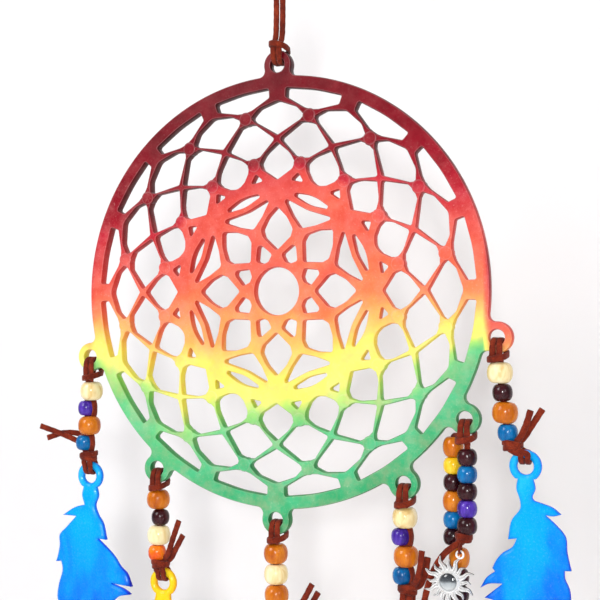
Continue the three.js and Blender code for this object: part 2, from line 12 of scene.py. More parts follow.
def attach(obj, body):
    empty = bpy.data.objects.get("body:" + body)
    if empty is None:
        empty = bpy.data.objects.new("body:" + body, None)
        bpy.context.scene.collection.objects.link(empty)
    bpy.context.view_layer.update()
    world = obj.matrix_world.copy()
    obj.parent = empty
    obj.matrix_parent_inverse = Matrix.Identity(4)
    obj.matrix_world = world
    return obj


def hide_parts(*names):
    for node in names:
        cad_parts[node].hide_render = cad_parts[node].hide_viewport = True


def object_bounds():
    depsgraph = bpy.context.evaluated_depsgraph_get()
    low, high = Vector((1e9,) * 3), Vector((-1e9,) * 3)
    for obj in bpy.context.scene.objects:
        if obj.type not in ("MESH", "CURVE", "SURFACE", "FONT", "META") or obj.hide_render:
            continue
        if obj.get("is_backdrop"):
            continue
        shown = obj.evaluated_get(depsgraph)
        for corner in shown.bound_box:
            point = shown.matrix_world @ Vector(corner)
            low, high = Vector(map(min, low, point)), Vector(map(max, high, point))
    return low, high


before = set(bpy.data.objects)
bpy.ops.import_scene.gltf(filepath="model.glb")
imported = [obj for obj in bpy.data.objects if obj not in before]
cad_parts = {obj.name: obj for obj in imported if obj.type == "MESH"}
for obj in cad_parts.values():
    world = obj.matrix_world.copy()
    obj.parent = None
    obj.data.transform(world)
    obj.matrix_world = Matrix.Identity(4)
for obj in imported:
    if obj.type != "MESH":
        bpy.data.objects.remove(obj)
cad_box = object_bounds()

# Shapes are written in millimetres about the middle of the disc: x to the right, y to the
# back and z up. The row frame is in metres, and its origin is the top of the hanging loop.
MM = 0.001
DISC_DROP = 152.0
DISC_HALF = 2.5

EAR_REACH, EAR_RADIUS, EAR_HOLE = 94.2, 6.2, 3.05
TOP_EAR = 0.0
STRAND_EARS = {1: -107.5, 2: -143.6, 3: 180.0, 4: 144.3, 5: 122.2, 6: 101.3}

# ---------- the camera

AIM = Vector((0.0006, -0.0025, -0.152))
CAMERA_AZIMUTH, CAMERA_ELEVATION, CAMERA_ROLL = 23.74, -1.58, 0.21
CAMERA_DISTANCE = 0.516
LENS, SENSOR = 74.9, 36.0
SHIFT_X, SHIFT_Y = 0.0375, -0.0148


def direction(azimuth, elevation):
    """The way from the object to something that stands at that azimuth and elevation."""
    a, e = math.radians(azimuth), math.radians(elevation)
    return Vector((math.sin(a) * math.cos(e), -math.cos(a) * math.cos(e), math.sin(e)))


def add_camera():
    data = bpy.data.cameras.new("camera")
    data.lens, data.sensor_width = LENS, SENSOR
    data.shift_x, data.shift_y = SHIFT_X, SHIFT_Y
    camera = bpy.data.objects.new("camera", data)
    bpy.context.collection.objects.link(camera)
    back = direction(CAMERA_AZIMUTH, CAMERA_ELEVATION)
    camera.location = AIM + back * CAMERA_DISTANCE
    turn = back.to_track_quat("Z", "Y").to_matrix().to_4x4()
    roll = Matrix.Rotation(math.radians(CAMERA_ROLL), 4, "Z")
    camera.rotation_euler = (turn @ roll).to_euler()
    bpy.context.scene.camera = camera


add_camera()

# ---------- material helpers


class Look:
    """A node material with one Principled shader, and short calls to wire it up."""

    def __init__(self, name, **sockets):
        self.material = bpy.data.materials.new(name)
        self.material.use_nodes = True
        self.tree = self.material.node_tree
        self.nodes, self.links = self.tree.nodes, self.tree.links
        self.shader = self.nodes["Principled BSDF"]
        self.output = self.nodes["Material Output"]
        coordinates = self.node("ShaderNodeTexCoord")
        self.place = coordinates.outputs["Object"]
        self.share = coordinates.outputs["Generated"]
        self.facing = coordinates.outputs["Normal"]
        for key, value in sockets.items():
            self.shader.inputs[key.replace("_", " ")].default_value = value

    def node(self, kind, **settings):
        made = self.nodes.new(kind)
        for key, value in settings.items():
            setattr(made, key, value)
        return made

    def put(self, socket, value):
        if hasattr(value, "is_output"):
            self.links.new(value, socket)
        else:
            socket.default_value = value

    def math(self, operation, a, b=0.0):
        made = self.node("ShaderNodeMath", operation=operation)
        self.put(made.inputs[0], a)
        self.put(made.inputs[1], b)
        return made.outputs[0]

    def add(self, a, b):
        return self.math("ADD", a, b)

    def times(self, a, b):
        return self.math("MULTIPLY", a, b)

    def axes(self, vector=None):
        split = self.node("ShaderNodeSeparateXYZ")
        self.links.new(vector or self.place, split.inputs[0])
        return split.outputs

    def paint_wall_shade_and_glint(self, colour, share, painted_glint_colour, painted_glint_share, flattest=0.75):
        """Paints shade on what faces sideways, the walls of a casting, by deepening their colour
        (partly also the deeper look of resin seen into its depth), and paints a pale highlight on
        the rounded edge in between. flat is 1 on a face that looks to the front or the back, and 0 on a
        wall."""
        flat = self.math("ABSOLUTE", self.axes(self.facing)[1])
        # painted highlight on the rounded edge between a flat face and its wall
        painted_glint = self.times(self.range(flat, 0.985, 0.9), self.range(flat, 0.6, 0.8))
        colour = self.mix(self.times(painted_glint, painted_glint_share), colour, painted_glint_colour)
        # painted shade on the walls: there the colour is multiplied by itself
        wall = self.range(flat, flattest, 0.3, 0.0, share)
        return self.mix(wall, colour, colour, "MULTIPLY")

    def grains(self, noise, low, high, most):
        """A share that grows from nothing to most where the noise passes from low to high."""
        return self.range(noise, low, high, 0.0, most)

    def noise(self, scale, detail=3.0, roughness=0.55, stretch=(1, 1, 1), distortion=0.0):
        """Grains about a millimetre wide where scale is 1000."""
        mapping = self.node("ShaderNodeMapping")
        mapping.inputs["Scale"].default_value = stretch
        self.links.new(self.place, mapping.inputs[0])
        made = self.node("ShaderNodeTexNoise")
        self.links.new(mapping.outputs[0], made.inputs["Vector"])
        for key, value in (("Scale", scale), ("Detail", detail), ("Roughness", roughness)):
            made.inputs[key].default_value = value
        made.inputs["Distortion"].default_value = distortion
        return made.outputs["Fac"]

    def ramp(self, value, stops):
        """stops are (position, colour). Colours are in sRGB, from 0 to 255."""
        made = self.node("ShaderNodeValToRGB")
        self.links.new(value, made.inputs[0])
        elements = made.color_ramp.elements
        while len(elements) < len(stops):
            elements.new(0.5)
        for element, (position, colour) in zip(elements, stops):
            element.position = position
            element.color = srgb(colour)
        return made.outputs[0]

    def range(self, value, low, high, to_low=0.0, to_high=1.0):
        made = self.node("ShaderNodeMapRange")
        self.links.new(value, made.inputs[0])
        for i, number in enumerate((low, high, to_low, to_high), 1):
            made.inputs[i].default_value = number
        return made.outputs[0]

    def mix(self, factor, a, b, blend="MIX"):
        made = self.node("ShaderNodeMix", data_type="RGBA", blend_type=blend)
        self.put(made.inputs[0], factor)
        self.put(made.inputs[6], srgb(a) if isinstance(a, tuple) else a)
        self.put(made.inputs[7], srgb(b) if isinstance(b, tuple) else b)
        return made.outputs[2]

    def bump(self, height, strength, distance):
        made = self.node("ShaderNodeBump")
        made.inputs["Strength"].default_value = strength
        made.inputs["Distance"].default_value = distance
        self.links.new(height, made.inputs["Height"])
        self.links.new(made.outputs[0], self.shader.inputs["Normal"])

    def wire(self, socket, value):
        self.links.new(value, self.shader.inputs[socket])

    def mix_shader(self, share, other):
        """Gives the other shader that share of the surface."""
        mixed = self.node("ShaderNodeMixShader")
        self.put(mixed.inputs[0], share)
        self.links.new(self.shader.outputs[0], mixed.inputs[1])
        self.links.new(other.outputs[0], mixed.inputs[2])
        self.links.new(mixed.outputs[0], self.output.inputs["Surface"])

    def let_light_through(self, share, colour):
        """Mixes in some light that comes from behind, as in a cast resin."""
        glow = self.node("ShaderNodeBsdfTranslucent")
        self.put(glow.inputs["Color"], colour)
        self.mix_shader(share, glow)


def srgb(colour):
    def linear(c):
        c /= 255
        return c / 12.92 if c <= 0.04045 else ((c + 0.055) / 1.055) ** 2.4

    return (*(linear(c) for c in colour), 1.0)


# ---------- materials

# The disc's colour by level, in millimetres above its middle.
DISC_LEVELS = (
    (-97, (64, 178, 120)),
    (-76, (84, 196, 138)),
    (-62, (112, 208, 140)),
    (-53, (176, 228, 130)),
    (-46, (244, 244, 124)),
    (-31, (250, 234, 114)),
    (-19, (248, 190, 104)),
    (-6, (243, 142, 90)),
    (9, (236, 108, 82)),
    (26, (226, 86, 76)),
    (40, (196, 34, 54)),
    (54, (146, 4, 30)),
    (90, (112, 0, 20)),
)
LEVEL_LIMIT = 100
LEVEL_TILT = 0.13  # how much the colours climb to the right
# How the bands of colour bend towards the sides: by height, at the middle, and at most.
BEND_GROWTH, BEND_MIDDLE, BEND_LIMITS = 0.000193, 0.0014, (-0.0044, 0.0016)
EAR_LEVELS = ((87, 90.5, 55), (-87, -90, 12))  # from x to x, and the rise of an outer ear there
STAR_LEVEL, STAR_EDGE, STAR_FOOT = -15, (54, 50.5), (5, 35)  # coral reaches higher in the star


def disc_level(look):
    """The level of each point in the disc's run of colours, as it was poured: bent, tilted,
    and shifted in the star and in the two outer ears."""
    x, _, z = look.axes()
    height = look.add(look.times(z, 1000), DISC_DROP)
    side = look.times(x, 1000)
    square = look.times(side, side)
    least, most = BEND_LIMITS
    bend = look.add(look.times(height, BEND_GROWTH), BEND_MIDDLE)
    bend = look.math("MAXIMUM", look.math("MINIMUM", bend, most), least)
    level = look.add(height, look.times(square, bend))
    level = look.math("SUBTRACT", level, look.times(side, LEVEL_TILT))
    for start, end, rise in EAR_LEVELS:
        level = look.add(level, look.range(side, start, end, 0, rise))
    reach = look.math("SQRT", look.add(square, look.times(height, height)))
    within = look.range(reach, *STAR_EDGE, 0, STAR_LEVEL)
    star = look.times(within, look.range(height, *STAR_FOOT))
    return height, look.add(level, star)


def resin_disc_look():
    """Crimson at the top, through coral and yellow to green, with pearly grains."""
    look = Look(
        "resin_disc_pearl",
        Roughness=0.34,
        Specular_IOR_Level=0.16,
        Coat_Weight=0.06,
        Coat_Roughness=0.15,
    )
    height, level = disc_level(look)
    swirl = look.range(look.noise(30, 4), 0.3, 0.7, -8, 8)
    level = look.range(look.add(level, swirl), -LEVEL_LIMIT, LEVEL_LIMIT)
    colour = look.ramp(level, [((t / LEVEL_LIMIT + 1) / 2, c) for t, c in DISC_LEVELS])
    grain = look.noise(1500, 2, 0.7)
    milk = look.grains(look.noise(150, 5, 0.7), 0.42, 0.7, 0.2)
    flake = look.grains(look.noise(800, 4, 0.8), 0.56, 0.72, 0.28)
    cloud = look.grains(look.noise(110, 4, 0.6), 0.4, 0.62, 0.3)
    below = look.range(height, 62, 30, 0.25, 1.0)  # the crimson has fewer grains
    milk, flake = look.times(milk, below), look.times(flake, below)
    colour = look.mix(milk, colour, (255, 170, 165))
    pale = look.mix(flake, colour, (255, 226, 214))
    faces = look.mix(cloud, pale, colour, "MULTIPLY")
    # painted shade on the walls and a pale painted highlight on the rounded edges
    look.wire("Base Color", look.paint_wall_shade_and_glint(faces, 0.8, (255, 220, 220), 0.11))
    look.wire("Roughness", look.range(grain, 0.3, 0.7, 0.24, 0.5))
    look.bump(grain, 0.3, 0.0001)
    look.let_light_through(0.1, colour)
    return look.material


FEATHER_AXIS = 0.47  # of its width, where a feather's spine stands
LEVEL_BY_DROP, LEVEL_BY_WIDTH = 0.72, 0.45


def feather_look(name, stops):
    """Cast resin, paler near the eyelet and deeper towards the edges and the tip."""
    look = Look(name, Roughness=0.3, Specular_IOR_Level=0.16, Coat_Weight=0.03, Coat_Roughness=0.08)
    x, _, z = look.axes(look.share)
    cloud = look.noise(50, 3, 0.6, (1.5, 1, 0.6), 0.4)
    streak = look.noise(170, 3, 0.6, (1, 1, 0.22))
    off_axis = look.math("ABSOLUTE", look.math("SUBTRACT", x, FEATHER_AXIS))
    by_drop = look.times(look.math("SUBTRACT", 1.0, z), LEVEL_BY_DROP)
    level = look.add(by_drop, look.times(off_axis, LEVEL_BY_WIDTH))
    level = look.add(level, look.range(cloud, 0.3, 0.7, -0.17, 0.17))
    level = look.add(level, look.range(streak, 0.3, 0.7, -0.06, 0.06))
    colour = look.ramp(level, stops)
    flake = look.grains(look.noise(900, 3, 0.8), 0.58, 0.75, 0.1)
    colour = look.mix(flake, colour, (235, 250, 255))
    # painted shade on the walls and bevels, and a painted highlight in the palest resin colour on the
    # rounded edges
    look.wire("Base Color", look.paint_wall_shade_and_glint(colour, 1.0, stops[0][1], 0.15, 1.0))
    look.wire("Roughness", look.range(look.noise(1300, 2), 0.3, 0.7, 0.16, 0.36))
    look.bump(look.noise(420, 3), 0.12, 0.0002)
    look.let_light_through(0.15, colour)
    return look.material


def wood_look(name, colour, deep, pale):
    """Dyed and varnished wood with a fine grain that runs round the bead's bore."""
    look = Look(name, Roughness=0.24, Specular_IOR_Level=0.2, Coat_Weight=0.28, Coat_Roughness=0.1)
    fibre = look.noise(900, 4, 0.65, (1, 1, 0.16))
    rings = look.noise(210, 3, 0.6, (1, 1, 0.35), 0.6)
    tone = look.ramp(rings, ((0.32, deep), (0.5, colour), (0.7, pale)))
    dark = look.range(fibre, 0.32, 0.6, 0.28, 0.0)
    look.wire("Base Color", look.mix(dark, tone, deep))
    look.wire("Roughness", look.range(fibre, 0.3, 0.7, 0.34, 0.18))
    look.bump(fibre, 0.18, 0.0001)
    return look.material


def suede_look():
    """Brushed suede: a soft nap, with darker rubbed patches."""
    look = Look("suede_lace", Roughness=0.92, Specular_IOR_Level=0.2)
    look.shader.inputs["Sheen Weight"].default_value = 0.12
    look.shader.inputs["Sheen Roughness"].default_value = 0.45
    nap = look.noise(1900, 4, 0.75)
    patch = look.noise(240, 4, 0.65)
    tone = look.ramp(patch, ((0.3, (88, 24, 12)), (0.5, (128, 40, 18)), (0.7, (158, 58, 28))))
    look.wire("Base Color", look.mix(look.range(nap, 0.35, 0.65, 0.55, 0.0), tone, (52, 12, 8)))
    look.bump(nap, 0.7, 0.0003)
    return look.material


RELIEF = (-0.0060, -0.0068)  # y of the charm's darkest and of its brightest metal
STONE_SPAN = (-0.2668, -0.2612)  # from near the stone's foot to its top, in z


def silver_look():
    """Cast silver, darkened towards the back of its relief: painted shade in the hollows, together with
    the oxide that the silver has there.
    """
    look = Look("cast_silver", Metallic=0.35, Roughness=0.3)
    depth = look.range(look.axes()[1], *RELIEF)
    tarnish = look.noise(1100, 4, 0.7)
    # painted shade and oxide: near black at the back of the relief, white at its front
    tone = look.ramp(depth, ((0.0, (12, 10, 10)), (0.28, (80, 78, 78)), (0.44, (255, 255, 255))))
    look.wire("Base Color", look.mix(look.range(tarnish, 0.4, 0.65, 0.16, 0.0), tone, (110, 106, 104)))
    look.wire("Roughness", look.range(tarnish, 0.3, 0.7, 0.22, 0.4))
    look.bump(tarnish, 0.2, 0.0001)
    return look.material


def stone_look():
    """A clear glassy stone over a pale foil, with a painted reflection that darkens its upper side."""
    look = Look("clear_stone", Roughness=0.03, Coat_Weight=0.6, Transmission_Weight=0.35, IOR=1.52)
    haze = look.noise(500, 3, 0.6)
    height = look.add(look.axes()[2], look.times(haze, 0.0012))
    pale, grey = ((0.1, (236, 240, 242)), (0.45, (190, 198, 204)))
    painted_reflection_grey, dark = ((0.62, (92, 98, 104)), (0.95, (58, 62, 68)))
    # painted reflection: pale at the stone's foot, darkening towards its top
    tone = look.ramp(look.range(height, *STONE_SPAN), (pale, grey, painted_reflection_grey, dark))
    look.wire("Base Color", tone)
    look.bump(haze, 0.05, 0.00005)
    return look.material


BLUE_STOPS = (
    (0.05, (36, 194, 252)),
    (0.22, (0, 178, 254)),
    (0.42, (0, 162, 252)),
    (0.62, (4, 118, 240)),
    (0.85, (46, 60, 204)),
)
YELLOW_STOPS = (
    (0.05, (255, 226, 40)),
    (0.35, (252, 206, 16)),
    (0.7, (248, 170, 14)),
    (0.9, (232, 128, 16)),
)
CORAL_STOPS = ((0.05, (250, 130, 90)), (0.4, (238, 86, 58)), (0.8, (190, 36, 48)))

WOODS = {
    "orange": ((206, 112, 18), (172, 80, 10), (224, 136, 38)),
    "cream": ((250, 230, 176), (226, 190, 120), (255, 246, 214)),
    "purple": ((70, 40, 156), (34, 14, 90), (104, 70, 196)),
    "blue": ((0, 104, 168), (0, 70, 126), (18, 132, 194)),
    "dark": ((50, 10, 18), (30, 4, 10), (70, 20, 28)),
    "yellow": ((246, 198, 24), (214, 150, 6), (255, 222, 80)),
    "red": ((246, 110, 18), (206, 62, 6), (255, 160, 40)),
}
RESINS = {"blue": BLUE_STOPS, "yellow": YELLOW_STOPS, "coral": CORAL_STOPS}
LOOKS = {
    "resin_disc": resin_disc_look(),
    "suede": suede_look(),
    "silver": silver_look(),
    "clear_stone": stone_look(),
}
for colour, stops in RESINS.items():
    LOOKS[f"resin_feather_{colour}"] = feather_look(f"resin_feather_{colour}_cast", stops)
for colour, tones in WOODS.items():
    LOOKS[f"bead_{colour}"] = wood_look(f"wood_{colour}", *tones)

# ---------- mesh helpers


def place(point):
    return (point[0] * MM, point[1] * MM, (point[2] - DISC_DROP) * MM)


def add_piece(name, points, faces, slot, body, stands_for=()):
    """A mesh piece, drawn in millimetres about the middle of the disc."""
    mesh = bpy.data.meshes.new(name)
    mesh.from_pydata([place(p) for p in points], [], faces)
    mesh.polygons.foreach_set("use_smooth", [True] * len(mesh.polygons))
    mesh.materials.append(LOOKS[slot])
    piece = bpy.data.objects.new(name, mesh)
    bpy.context.collection.objects.link(piece)
    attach(piece, body)
    if stands_for:
        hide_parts(*stands_for)
    return piece


def spline(controls, step):
    """Points along a centripetal curve through the controls. Every column is carried along."""

    def between(a, b, start, end, t):
        return (end - t) / (end - start) * a + (t - start) / (end - start) * b

    p = np.array(controls, float)
    p = np.vstack([2 * p[0] - p[1], p, 2 * p[-1] - p[-2]])
    rows = []
    for i in range(1, len(p) - 2):
        a, b, c, d = p[i - 1 : i + 3]
        gaps = [max(np.linalg.norm(v[:3] - u[:3]), 1e-6) ** 0.5 for u, v in ((a, b), (b, c), (c, d))]
        t0, t1 = 0.0, gaps[0]
        t2 = t1 + gaps[1]
        t3 = t2 + gaps[2]
        count = max(2, round(np.linalg.norm(c[:3] - b[:3]) / step))
        for t in t1 + (t2 - t1) * np.arange(count) / count:
            ab, bc, cd = between(a, b, t0, t1, t), between(b, c, t1, t2, t), between(c, d, t2, t3, t)
            abc, bcd = between(ab, bc, t0, t2, t), between(bc, cd, t1, t3, t)
            rows.append(between(abc, bcd, t1, t2, t))
    rows.append(p[-2])
    return np.array(rows)


def tube_faces(rings, count, closed=False):
    """The quads between rings of count points each, that follow one another."""
    faces = []
    for i in range(rings if closed else rings - 1):
        j = (i + 1) % rings
        for k in range(count):
            m = (k + 1) % count
            faces.append((i * count + k, i * count + m, j * count + m, j * count + k))
    return faces


def end_faces(rings, count):
    """The two faces that close an open tube."""
    last = (rings - 1) * count
    return [tuple(range(count))[::-1], tuple(range(last, last + count))]


def flipped(faces):
    return [face[::-1] for face in faces]


def polar(radius, degrees):
    a = math.radians(degrees)
    return radius * math.sin(a), radius * math.cos(a)


def turned(profile, middle, segments=48, close=True):
    """A profile of (radius, y) turned about an axis along Y through (x, z) of middle."""
    points = []
    for radius, y in profile:
        for k in range(segments):
            dx, dz = polar(radius, 360 * k / segments)
            points.append((middle[0] + dx, y, middle[1] + dz))
    return points, tube_faces(len(profile), segments, close)


def unit(rows):
    return rows / np.linalg.norm(rows, axis=1, keepdims=True)


def flat_section(width, thickness, corner=0.5):
    """A rectangle with rounded corners, as points (across, out)."""
    points = []
    for sx, sz, start in ((1, 1, 0), (-1, 1, 90), (-1, -1, 180), (1, -1, 270)):
        for turn in (0, 45, 90):
            a = math.radians(start + turn)
            across = sx * (width / 2 - corner) + corner * math.cos(a)
            out = sz * (thickness / 2 - corner) + corner * math.sin(a)
            points.append((across, out))
    return np.array(points)


FRONT, BACK = (0, -1, 0), (0, 1, 0)
LACE_WIDTH, LACE_THICKNESS, LACE_STEP = 2.5, 1.2, 0.6
BORE_SQUEEZE = 0.75  # of a lace's width, where two run through a bead
EDGE_WANDER, EDGE_WAVE = 0.035, 1.9  # how much a lace's width varies, and how fast


def sweep(controls, width=LACE_WIDTH, thickness=LACE_THICKNESS, step=LACE_STEP, closed=False):
    """A flat lace through controls of (x, y, z), then the way that its face looks, if that is
    not to the front, and where it is squeezed, the share of its width that is left."""
    facing = [c if len(c) > 3 else (*c, *FRONT) for c in controls]
    rows = spline([(*c, 1.0)[:7] for c in facing], step)
    if closed:
        rows = rows[:-1]
    centres = rows[:, :3]
    ahead = np.roll(centres, -1, 0) - np.roll(centres, 1, 0) if closed else np.gradient(centres, axis=0)
    along = unit(ahead)
    out = rows[:, 3:6]
    out = unit(out - (out * along).sum(1, keepdims=True) * along)
    across = np.cross(along, out)
    section = flat_section(width, thickness)
    wide = rows[:, 6] * (1 + EDGE_WANDER * np.sin(EDGE_WAVE * np.arange(len(rows)) * step))
    points = (
        centres[:, None]
        + across[:, None] * section[None, :, 0, None] * wide[:, None, None]
        + out[:, None] * section[None, :, 1, None]
    ).reshape(-1, 3)
    faces = tube_faces(len(rows), len(section), closed)
    if not closed:
        faces += end_faces(len(rows), len(section))
    return points, faces, centres


def join_parts(parts):
    points, faces, base = [], [], 0
    for part_points, part_faces in parts:
        points.extend(part_points)
        faces.extend(tuple(i + base for i in face) for face in part_faces)
        base += len(part_points)
    return points, faces


# ---------- laces

LEG_HALF = 1.33  # from the middle of a pair of laces to the middle of each
BORE_HALF = 0.66  # the same in a bead, where they lie one behind the other


def hitch(ear, rise, collar, foot_left, foot_right):
    """A cow hitch round an ear's bar: up the front, through the hole, down behind, across the
    front as a collar, up behind, through the hole and down the front again. rise is 1 where
    the laces hang below the ear, and -1 where they rise above it. The feet are the controls
    under the collar, where each leg goes on."""
    x, z = ear

    def over(side):
        """One leg over the bar, from its front to its back."""
        s = side * LEG_HALF
        return [
            (s, -3.25, collar),
            (s, -3.6, -5.2),
            (0.95 * s, -3.2, -2.3, 0, -0.9, 0.45 * rise, 0.9),
            (0.86 * s, -1.9, -0.8, 0, -0.4, 0.9 * rise, 0.84),
            (0.82 * s, 0, -0.55, 0, 0, rise, 0.82),
            (0.86 * s, 1.9, -0.8, 0, 0.4, 0.9 * rise, 0.84),
            (0.88 * s, 3.2, -2.3, 0, 0.9, 0.45 * rise, 0.84),
            (0.9 * s, 3.65, -4.6, *BACK, 0.84),
        ]

    round_front = [
        (-2.7, 3.2, collar + 0.7, -0.6, 0.8, 0),
        (-3.6, 0.2, collar - 0.3, -1, 0, 0),
        (-2.9, -3.2, collar - 0.5, -0.7, -0.7, 0),
        (-1.2, -4.7, collar - 0.35),
        (1.2, -4.7, collar + 0.15),
        (2.9, -3.4, collar + 0.6, 0.7, -0.7, 0),
        (3.7, 0, collar + 1.4, 1, 0, 0),
        (2.8, 3.35, collar + 2.0, 0.5, 0.85, 0),
    ]
    turns = [*over(-1), *round_front, *over(1)[::-1]]
    moved = [(x + dx, dy, z + rise * dz, *rest) for dx, dy, dz, *rest in turns]
    return [*foot_left, *moved, *foot_right]


def eyelet_loop(knot, hole, side):
    """One lace from its knot down the front of a feather's eyelet, through its hole and up
    behind it to the knot again."""
    kx, kz = knot
    hx, hz = hole
    s = side * 1.35
    return [
        (kx + 0.9 * s, -1.5, kz - 0.6),
        ((kx + hx) / 2 + 1.05 * s, -2.4, (kz - 1.6 + hz + 5) / 2),
        (hx + s, -2.65, hz + 4.7, *FRONT, 0.92),
        (hx + 0.94 * s, -2.3, hz + 2.7, 0, -0.9, -0.4, 0.85),
        (hx + 0.86 * s, -1.2, hz + 1.5, 0, -0.5, -0.8, 0.8),
        (hx + 0.83 * s, 0, hz + 1.15, 0, 0, -1, 0.8),
        (hx + 0.86 * s, 1.2, hz + 1.5, 0, 0.5, -0.8, 0.8),
        (hx + 0.86 * s, 2.3, hz + 2.7, 0, 0.9, -0.4, 0.8),
        (hx + 0.88 * s, 2.7, hz + 4.7, *BACK, 0.8),
        ((kx + hx) / 2 + s, 2.2, (kz - 1.6 + hz + 5) / 2, *BACK),
        (kx + 0.9 * s, 1.4, kz - 0.6, *BACK),
    ]


KNOT_LEAN = 0.14
# A knot's two turns: share of its radius, side it leans to, drop by its height, lace width.
KNOT_TURNS = ((1.12, 1, -0.25, 2.4), (1.0, -1, 0.175, 2.2))
TURN_STEPS = 14


def knot_piece(name, middle, height, body, lean=KNOT_LEAN, radius=3.2):
    """Two turns of lace, one over the other, round a core."""
    x, y, z = middle
    parts = []
    for share, side, drop, width in KNOT_TURNS:
        turn = []
        for k in range(TURN_STEPS + 1):
            a = 2 * math.pi * k / TURN_STEPS
            dx, dy = share * radius * math.cos(a), 0.92 * share * radius * math.sin(a)
            level = z - drop * height + side * lean * dx + 0.18 * math.sin(3 * a)
            turn.append((x + dx, y + dy, level, math.cos(a), math.sin(a), 0))
        parts.append(sweep(turn, width, step=0.5, closed=True)[:2])
    core = [(x, y, z + height / 2 * k) for k in (-0.9, -0.3, 0.3, 0.9)]
    parts.append(sweep(core, 1.5 * radius, 1.3 * radius, 0.5)[:2])
    return add_piece(name, *join_parts(parts), "suede", body)


def hung_lace(name, controls, body, stands_for):
    """A lace through the controls, in place of the parts it stands for."""
    points, faces, centres = sweep(controls)
    lace = add_piece(name, points, faces, "suede", body, stands_for)


BEADS = {
    "big": {"radius": 5.0, "height": 8.2, "bore": 1.7, "fullness": 2.2},
    "middle": {"radius": 4.1, "height": 7.9, "bore": 1.6, "fullness": 2.1},
    "small": {"radius": 3.9, "height": 6.5, "bore": 1.6, "fullness": 2.1},
}
BEAD_GAP, DOUBLE_GAP = 0.3, 0.1

OUTSIDE = (("big cream", 0), ("small purple", -1.9), ("big orange", 0), ("small blue", -1.9))
# Each strand's beads go from the top down, as (kind, how far it stands to the right of the
# strand). lean is how far the first and the last of them stand to the right of the ear.
# first_top is the z of the first one's top, and collar is how high the lace's collar lies
# above the ear's middle. hole is the middle of the feather's eyelet.
STRANDS = {
    1: {
        "beads": OUTSIDE,
        "lean": (-0.5, -2.0),
        "first_top": -39.4,
        "collar": -8.9,
        "knot": (-91.6, -72.4),
        "knot_height": 3.4,
        "hole": (-90.6, -81.0),
        "tails": (
            ((-93.9, 5.0, -68.4), (-98.0, 4.4, -63.6), (-106.0, 2.6, -62.8), (-114.1, 1.2, -65.2)),
            ((-94.9, 4.9, -70.4), (-98.8, 3.4, -66.8), (-106.0, 0.9, -63.3), (-116.8, -0.4, -59.9)),
        ),
    },
    2: {
        "beads": (("big orange", -0.4), ("small dark", 0.7), ("big cream", 0), ("small red", -0.8)),
        "lean": (0.0, 0.0),
        "first_top": -85.15,
        "collar": -7.95,
        "knot": (-55.0, -116.85),
        "knot_height": 3.0,
        "knot_lean": -KNOT_LEAN,
        "hole": (-53.6, -124.7),
        "tails": (
            ((-50.6, 0.4, -114.6), (-46.8, -1.2, -109.4), (-43.2, -2.0, -103.6)),
            ((-50.8, -1.4, -112.2), (-47.6, -2.4, -104.8), (-44.7, -2.8, -97.4)),
        ),
    },
    3: {
        "beads": (("big orange", 0), ("big cream", 0), ("big orange", 0), ("small dark", 0)),
        "lean": (-0.8, -0.2),
        "first_top": -104.2,
        "collar": -8.05,
        "knot": (0.0, -138.2),
        "knot_height": 3.4,
        "hole": (0.0, -150.0),
        "tails": (
            ((6.0, -0.4, -136.4), (13.5, -1.4, -130.6), (18.8, -1.8, -122.3)),
            ((5.6, -2.2, -134.4), (12.0, -2.8, -127.0), (16.6, -3.0, -119.0)),
        ),
    },
    4: {
        "beads": OUTSIDE,
        "lean": (0.0, 0.8),
        "first_top": -85.8,
        "collar": -7.95,
        "knot": (56.2, -118.0),
        "knot_height": 3.4,
        "hole": (55.6, -136.5),
        "tails": (
            ((60.8, -0.4, -116.4), (63.7, -1.4, -111.0), (64.9, -1.8, -104.6)),
            ((60.2, -2.4, -114.6), (62.2, -3.0, -108.4), (62.9, -3.2, -102.0)),
        ),
    },
    6: {
        "beads": (("big cream", 0), ("small dark", 0), ("big orange", 0), ("small blue", 0)),
        "lean": (0.7, 3.7),
        "first_top": -27.9,
        "collar": -8.0,
        "knot": (98.0, -59.75),
        "knot_height": 3.2,
        "knot_lean": -KNOT_LEAN,
        "hole": (102.9, -67.4),
        "tails": (
            ((101.6, -0.4, -57.4), (105.8, -1.4, -51.6), (109.8, -1.8, -45.4)),
            ((101.4, -2.4, -56.4), (104.0, -3.0, -51.0), (105.6, -3.2, -45.9)),
        ),
    },
}


def bead_places(strand, ear_x):
    """The middle of each bead, as (size, colour, x of the strand, x of the bead, z)."""
    places = []
    top = strand["first_top"]
    last = len(strand["beads"]) - 1
    for i, (kind, shift) in enumerate(strand["beads"]):
        size, colour = kind.split()
        height = BEADS[size]["height"]
        low, high = strand["lean"]
        x = ear_x + low + (high - low) * i / last
        places.append((size, colour, x, x + shift, top - height / 2))
        top -= height + BEAD_GAP
    return places


def strand_leg(places, side):
    """One lace down through the beads. Where a bead stands well off the strand, the right
    lace passes outside it."""
    y = -BORE_HALF if side < 0 else BORE_HALF
    leg = []
    for size, _, x, bead_x, z in places:
        half = BEADS[size]["height"] / 2
        if side > 0 and x - bead_x > 1:
            outside = bead_x + BEADS[size]["radius"] + 0.62
            leg.append((x + 1.5, 0.1, z + half + 0.1, 0.7, -0.7, 0))
            leg.append((outside, -0.6, z, 1, -0.3, 0))
            leg.append((x + 1.5, 0.1, z - half - 0.1, 0.7, -0.7, 0))
        else:
            leg.append((bead_x, y, z + 0.85 * half, *FRONT, BORE_SQUEEZE))
            leg.append((bead_x, y, z - 0.85 * half, *FRONT, BORE_SQUEEZE))
    return leg


